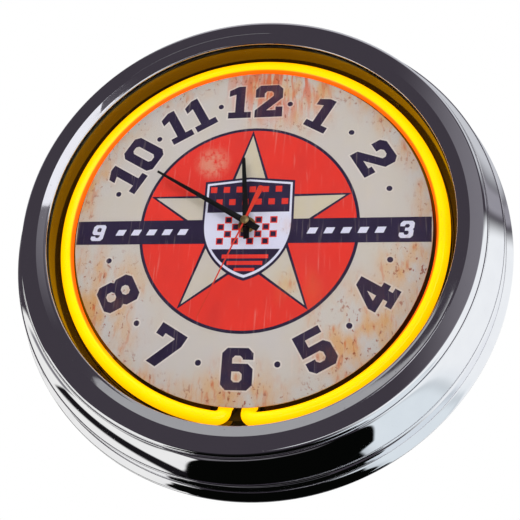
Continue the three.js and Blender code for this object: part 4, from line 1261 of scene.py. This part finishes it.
# %% Half-hour dots
DOT_MM = 0.03
for name, size, layer, ink in (("dot_edges", 3.1, 1, EDGE_INK), ("dots", 2.1, 2, NAVY_INK)):
    front = PLATE_FRONT - layer * INK_MM
    dot = [(0, front), (size, front), (size, front + DOT_MM), (0, front + DOT_MM)]
    dots = round_copies(lathe(name, dot, 32), 12, NUMERAL_RING, 15, ink)
    finish_piece(dots, "case", ink, "dial_print")
    print(name, "are", size * 2, "mm across")

# %% [markdown]
# ## Hands
# A hand is stamped from sheet aluminium half a millimetre thick, so it is a flat outline with edges that the
# punch leaves slightly round, and a small collar pressed round its hole. The three hands sit one above the
# other.

# %% Hands
HOUR_DEG, MINUTE_DEG, SECOND_DEG = 354.5, 301.1, 201.7  # clockwise from twelve


def stamped_hand(name, outline, bore, front, back, turn_deg, collar=0.0):
    blade = soften(cut_sheet(name, [outline, circle(bore, steps=40)], front, back), 0.12)
    parts = [blade]
    if collar:
        rim_y = back + collar
        ring = [(bore, back), (bore + 1, back), (bore + 1, rim_y - 0.1), (bore + 0.9, rim_y), (bore, rim_y)]
        parts.append(lathe(name + "_collar", ring, 40))
    hand = join(name, *parts)
    hand.data.transform(Matrix.Rotation(math.radians(turn_deg), 4, "Y"))
    return hand


def baton(reach, tail, tip_half, hub_half, tail_half, hub):
    """A straight hand with square ends and a round hub, wide enough to hold its hole."""
    side = math.degrees(math.asin(hub_half / hub))
    right = arc((0, 0), hub, -90 + side, 90 - side, 16)
    left = arc((0, 0), hub, 90 + side, 270 - side, 16)
    return [(tail_half, -tail), *right, (tip_half, reach), (-tip_half, reach), *left, (-tail_half, -tail)]


COLLAR_MM = 0.6
hour_outline = baton(reach=53.5, tail=12.8, tip_half=1.3, hub_half=2.3, tail_half=2.2, hub=3.7)
hour_hand = stamped_hand("hour_baton", hour_outline, 2.7, -35.3, -34.8, HOUR_DEG, COLLAR_MM)
finish_piece(hour_hand, "hour_arbor", FINISHES["hand_black"], "hand_black", "hour_hand")
minute_outline = baton(reach=82.6, tail=11.4, tip_half=0.9, hub_half=2.4, tail_half=2.4, hub=2.8)
minute_hand = stamped_hand("minute_baton", minute_outline, 1.8, -37.3, -36.8, MINUTE_DEG, COLLAR_MM)
finish_piece(minute_hand, "minute_arbor", FINISHES["hand_black"], "hand_black", "minute_hand")
pointer = [
    *arc((0, -27.0), 2.3, 200, 340, 10),
    *arc((0, 0), 2.0, -65, 72, 12),
    (0.32, 78.6),
    (-0.32, 78.6),
    *arc((0, 0), 2.0, 108, 245, 12),
]
second_hand = stamped_hand("sweep_second", pointer, 0.6, -39.6, -39.2, SECOND_DEG)
finish_piece(second_hand, "second_arbor", FINISHES["hand_red"], "hand_red", "second_hand")
print("hands at", HOUR_DEG, MINUTE_DEG, SECOND_DEG)

# %% [markdown]
# ## Hub
# The hub is a washer, a hexagonal nut and a domed cap. The cap is turned from brass rod and sits on the end
# of the second hand's arbor, so it turns with it. The nut is a hexagon cut as a sheet piece and softened,
# because a lathe makes only round outsides.

# %% Hub
cap_outline = [
    (0, -41.5),
    (0.8, -41.48),
    (1.5, -41.38),
    (2.1, -41.15),
    (2.4, -40.9),
    (2.5, -40.75),
    (2.75, -40.75),
    (3.0, -40.65),
    (3.1, -40.45),
    (3.1, -39.95),
    (0, -39.9),
]
cap = lathe("domed_cap", cap_outline, 64)
finish_piece(cap, "second_arbor", FINISHES["hub_brass"], "hub_brass", "hub_cap")
hexagon = [(5.6 * x, 5.6 * z) for x, z in circle(1.0, steps=6)]
nut = soften(cut_sheet("hexagon_nut", [hexagon, circle(4.2, steps=48)], -33.2, -31.2), 0.3, 3)
finish_piece(nut, "case", FINISHES["hub_brass"], "hub_brass", "bushing_nut")
washer_outline = [(4.2, -30.9), (6.3, -30.9), (6.4, -30.8), (6.4, -30.4), (6.3, -30.3), (4.2, -30.3)]
washer = lathe("plain_washer", washer_outline, 64)
finish_piece(washer, "case", FINISHES["hub_brass"], "hub_brass", "dial_washer")
print("cap, nut and washer")

# %% [markdown]
# ## The back
# The back cover is one disc of sheet steel, punched with a window for the movement, holes for the inlet, the
# switch and the hanging plate, and two rows of cooling slots, then powder coated. Six screws hold it, and
# the plate that the clock hangs from is riveted over its hole.

# %% Punched cover
def rounded_box(half_x, half_z, radius, place=(0, 0)):
    corners = ((half_x - radius, half_z - radius, 0), (radius - half_x, half_z - radius, 90),
               (radius - half_x, radius - half_z, 180), (half_x - radius, radius - half_z, 270))
    loop = []
    for x, z, start in corners:
        loop += arc((place[0] + x, place[1] + z), radius, start, start + 90, 6)
    return loop


INLET = (70, -75)
SWITCH = (-70, -75)
SLOT_PITCH = 9
HANGER_Z = 146
SCREW_TURNS = [math.radians(SCREW_START_DEG) + FULL_TURN * i / SCREWS for i in range(SCREWS)]
screw_places = [(SCREW_RING_MM * math.cos(a), SCREW_RING_MM * math.sin(a)) for a in SCREW_TURNS]
punched = [
    circle(181.5, steps=240),
    rounded_box(30, 30, 2),  # window for the movement
    circle(6.0, INLET, 48),
    rounded_box(7.9, 9.9, 0.5, SWITCH),
    rounded_box(8, 13, 3, (0, HANGER_Z + 2)),  # room for a screw head behind the keyhole
    *[circle(1.9, place, 24) for place in screw_places],
    *[rounded_box(22, 1.75, 1.7, (side * 95, i * SLOT_PITCH)) for side in (-1, 1) for i in (-2, -1, 0, 1, 2)],
]
cover = soften(cut_sheet("punched_cover", punched, -9.0, -7.8), 0.15)
finish_piece(cover, "case", FINISHES["cover_paint"], "cover_paint", "back_cover")
print("cover with", len(punched) - 1, "openings")

# %% [markdown]
# ## Hanging plate, rivets and screws
# The keyhole is a round hole that a screw head passes through, with a narrow slot above it that the shank
# slides up. Its outline is two arcs. The rivets are turned heads joined to the plate. One screw is turned,
# its slot is cut, and the ring of copies gives each of the six its own turn, as nobody lines them up.

# %% Hanging plate, rivets and screws
KEY_Z = HANGER_Z - 4
HOLE_MM = 5.5
SLOT_MM = 2.75
SLOT_RISE = 12.25
lean = math.degrees(math.asin(SLOT_MM / HOLE_MM))
hole_arc = arc((0, KEY_Z), HOLE_MM, 90 + lean, 450 - lean, 40)
keyhole = [*hole_arc, *arc((0, KEY_Z + SLOT_RISE), SLOT_MM, 0, 180, 16)]
hanger = soften(cut_sheet("keyhole_plate", [rounded_box(22, 19, 5, (0, HANGER_Z)), keyhole], -7.5, -6.0), 0.3)
rivets = []
for x, z in ((-17, -14), (17, -14), (-17, 14), (17, 14)):
    head = [(0, -5.0), (1.2, -5.1), (2.0, -5.4), (2.4, -5.9), (2.4, -6.2), (0, -6.2)]
    rivets.append(lathe(f"rivet_{x}_{z}", head, 24, place=(x, HANGER_Z + z)))
hanger = join("keyhole_plate_riveted", hanger, *rivets)
finish_piece(hanger, "case", FINISHES["zinc_steel"], "zinc_steel", "keyhole_hanger")

screw_outline = [
    (0, -5.62),
    (0.9, -5.6),
    (2.0, -5.75),
    (2.7, -6.2),
    (3.0, -6.9),
    (3.0, -7.5),
    (1.1, -7.5),
    (1.1, -30.2),
    (0, -31),
]
screw = lathe("pan_head_screw", screw_outline, 24)
cut_away(screw, cutter_block("screwdriver_slot", (0, -5.6, 0), (8, 1.6, 0.8)))
zinc = FINISHES["zinc_steel"]
screws = round_copies(screw, SCREWS, SCREW_RING_MM, SCREW_START_DEG, zinc, scatter=1.3, seed=11)
screws.name = "cover_screws"
finish_piece(screws, "case", zinc, "zinc_steel", *[f"cover_screw_{i + 1}" for i in range(SCREWS)])
print("hanging plate with", len(rivets), "rivets, and", SCREWS, "screws")

# %% [markdown]
# ## Power inlet
# A barrel socket is a deep cup with a pin up its middle. Both are turned. The rolled lip of the cup hides the
# edge of the hole in the cover.

# %% Power inlet
inlet_outline = [
    (0, -20.0),
    (5.5, -20.0),
    (5.5, -7.5),
    (7.0, -7.5),
    (7.3, -7.2),
    (7.3, -6.6),
    (6.9, -6.2),
    (3.6, -6.2),
    (3.2, -6.6),
    (3.2, -18.0),
    (0, -18.0),
]
inlet = lathe("barrel_inlet", inlet_outline, 48, place=INLET)
finish_piece(inlet, "case", FINISHES["black_plastic"], "black_plastic", "power_inlet")
pin_outline = [(0, -18.0), (1.0, -18.0), (1.0, -9.6), (0.8, -9.1), (0.3, -8.8), (0, -8.8)]
pin = lathe("inlet_pin", pin_outline, 24, place=INLET)
finish_piece(pin, "case", FINISHES["nickel_steel"], "nickel_steel")
print("inlet and pin")

# %% [markdown]
# ## Pieces that keep the CAD's shape
# The moulded cases, the switch and the cell are right as the CAD has them, but their edges are knife sharp.
# A copy of each is welded into one skin and its edges are rounded by a few tenths of a millimetre, as any
# mould leaves them. The wheels, the coil and the board sit inside the movement: they stay CAD nodes, and
# only take a finish.

# %% Softened copies of CAD pieces
def softened_copy(node, width_mm, finish_slot, body="case"):
    bm = bmesh.new()
    bm.from_mesh(frame["nodes"][node].data)
    bmesh.ops.remove_doubles(bm, verts=bm.verts, dist=1e-6)
    flat = math.radians(1)
    bmesh.ops.dissolve_limit(bm, angle_limit=flat, verts=bm.verts, edges=bm.edges)
    piece = soften(mesh_object(node + "_soft", bm), width_mm)
    return finish_piece(piece, body, FINISHES[finish_slot], finish_slot, node)


softened_copy("movement_back", 0.3, "black_plastic")
softened_copy("switch_body", 0.3, "black_plastic")
softened_copy("switch_rocker", 0.25, "rocker_red", "rocker")
softened_copy("battery_cell", 0.4, "cell_jacket")
softened_copy("setting_knob", 0.12, "knob_red", "setting_arbor")
for clip in range(1, 5):
    softened_copy(f"tube_clip_{clip}", 0.4, "clip_plastic")
print("cases, switch, cell, knob and clips are softened")

# %% [markdown]
# ## Finishes for the CAD nodes
# Every CAD node takes the finish of its slot, the hidden ones too, so a pose or a section never shows a
# piece without a surface.

# %% Finishes for the CAD nodes
for part in frame["record"]["subparts"]:
    node = frame["nodes"][part["node"]]
    if not node.material_slots:
        node.data.materials.append(FINISHES[part["material_slot"]])
    node.material_slots[0].material = FINISHES[part["material_slot"]]
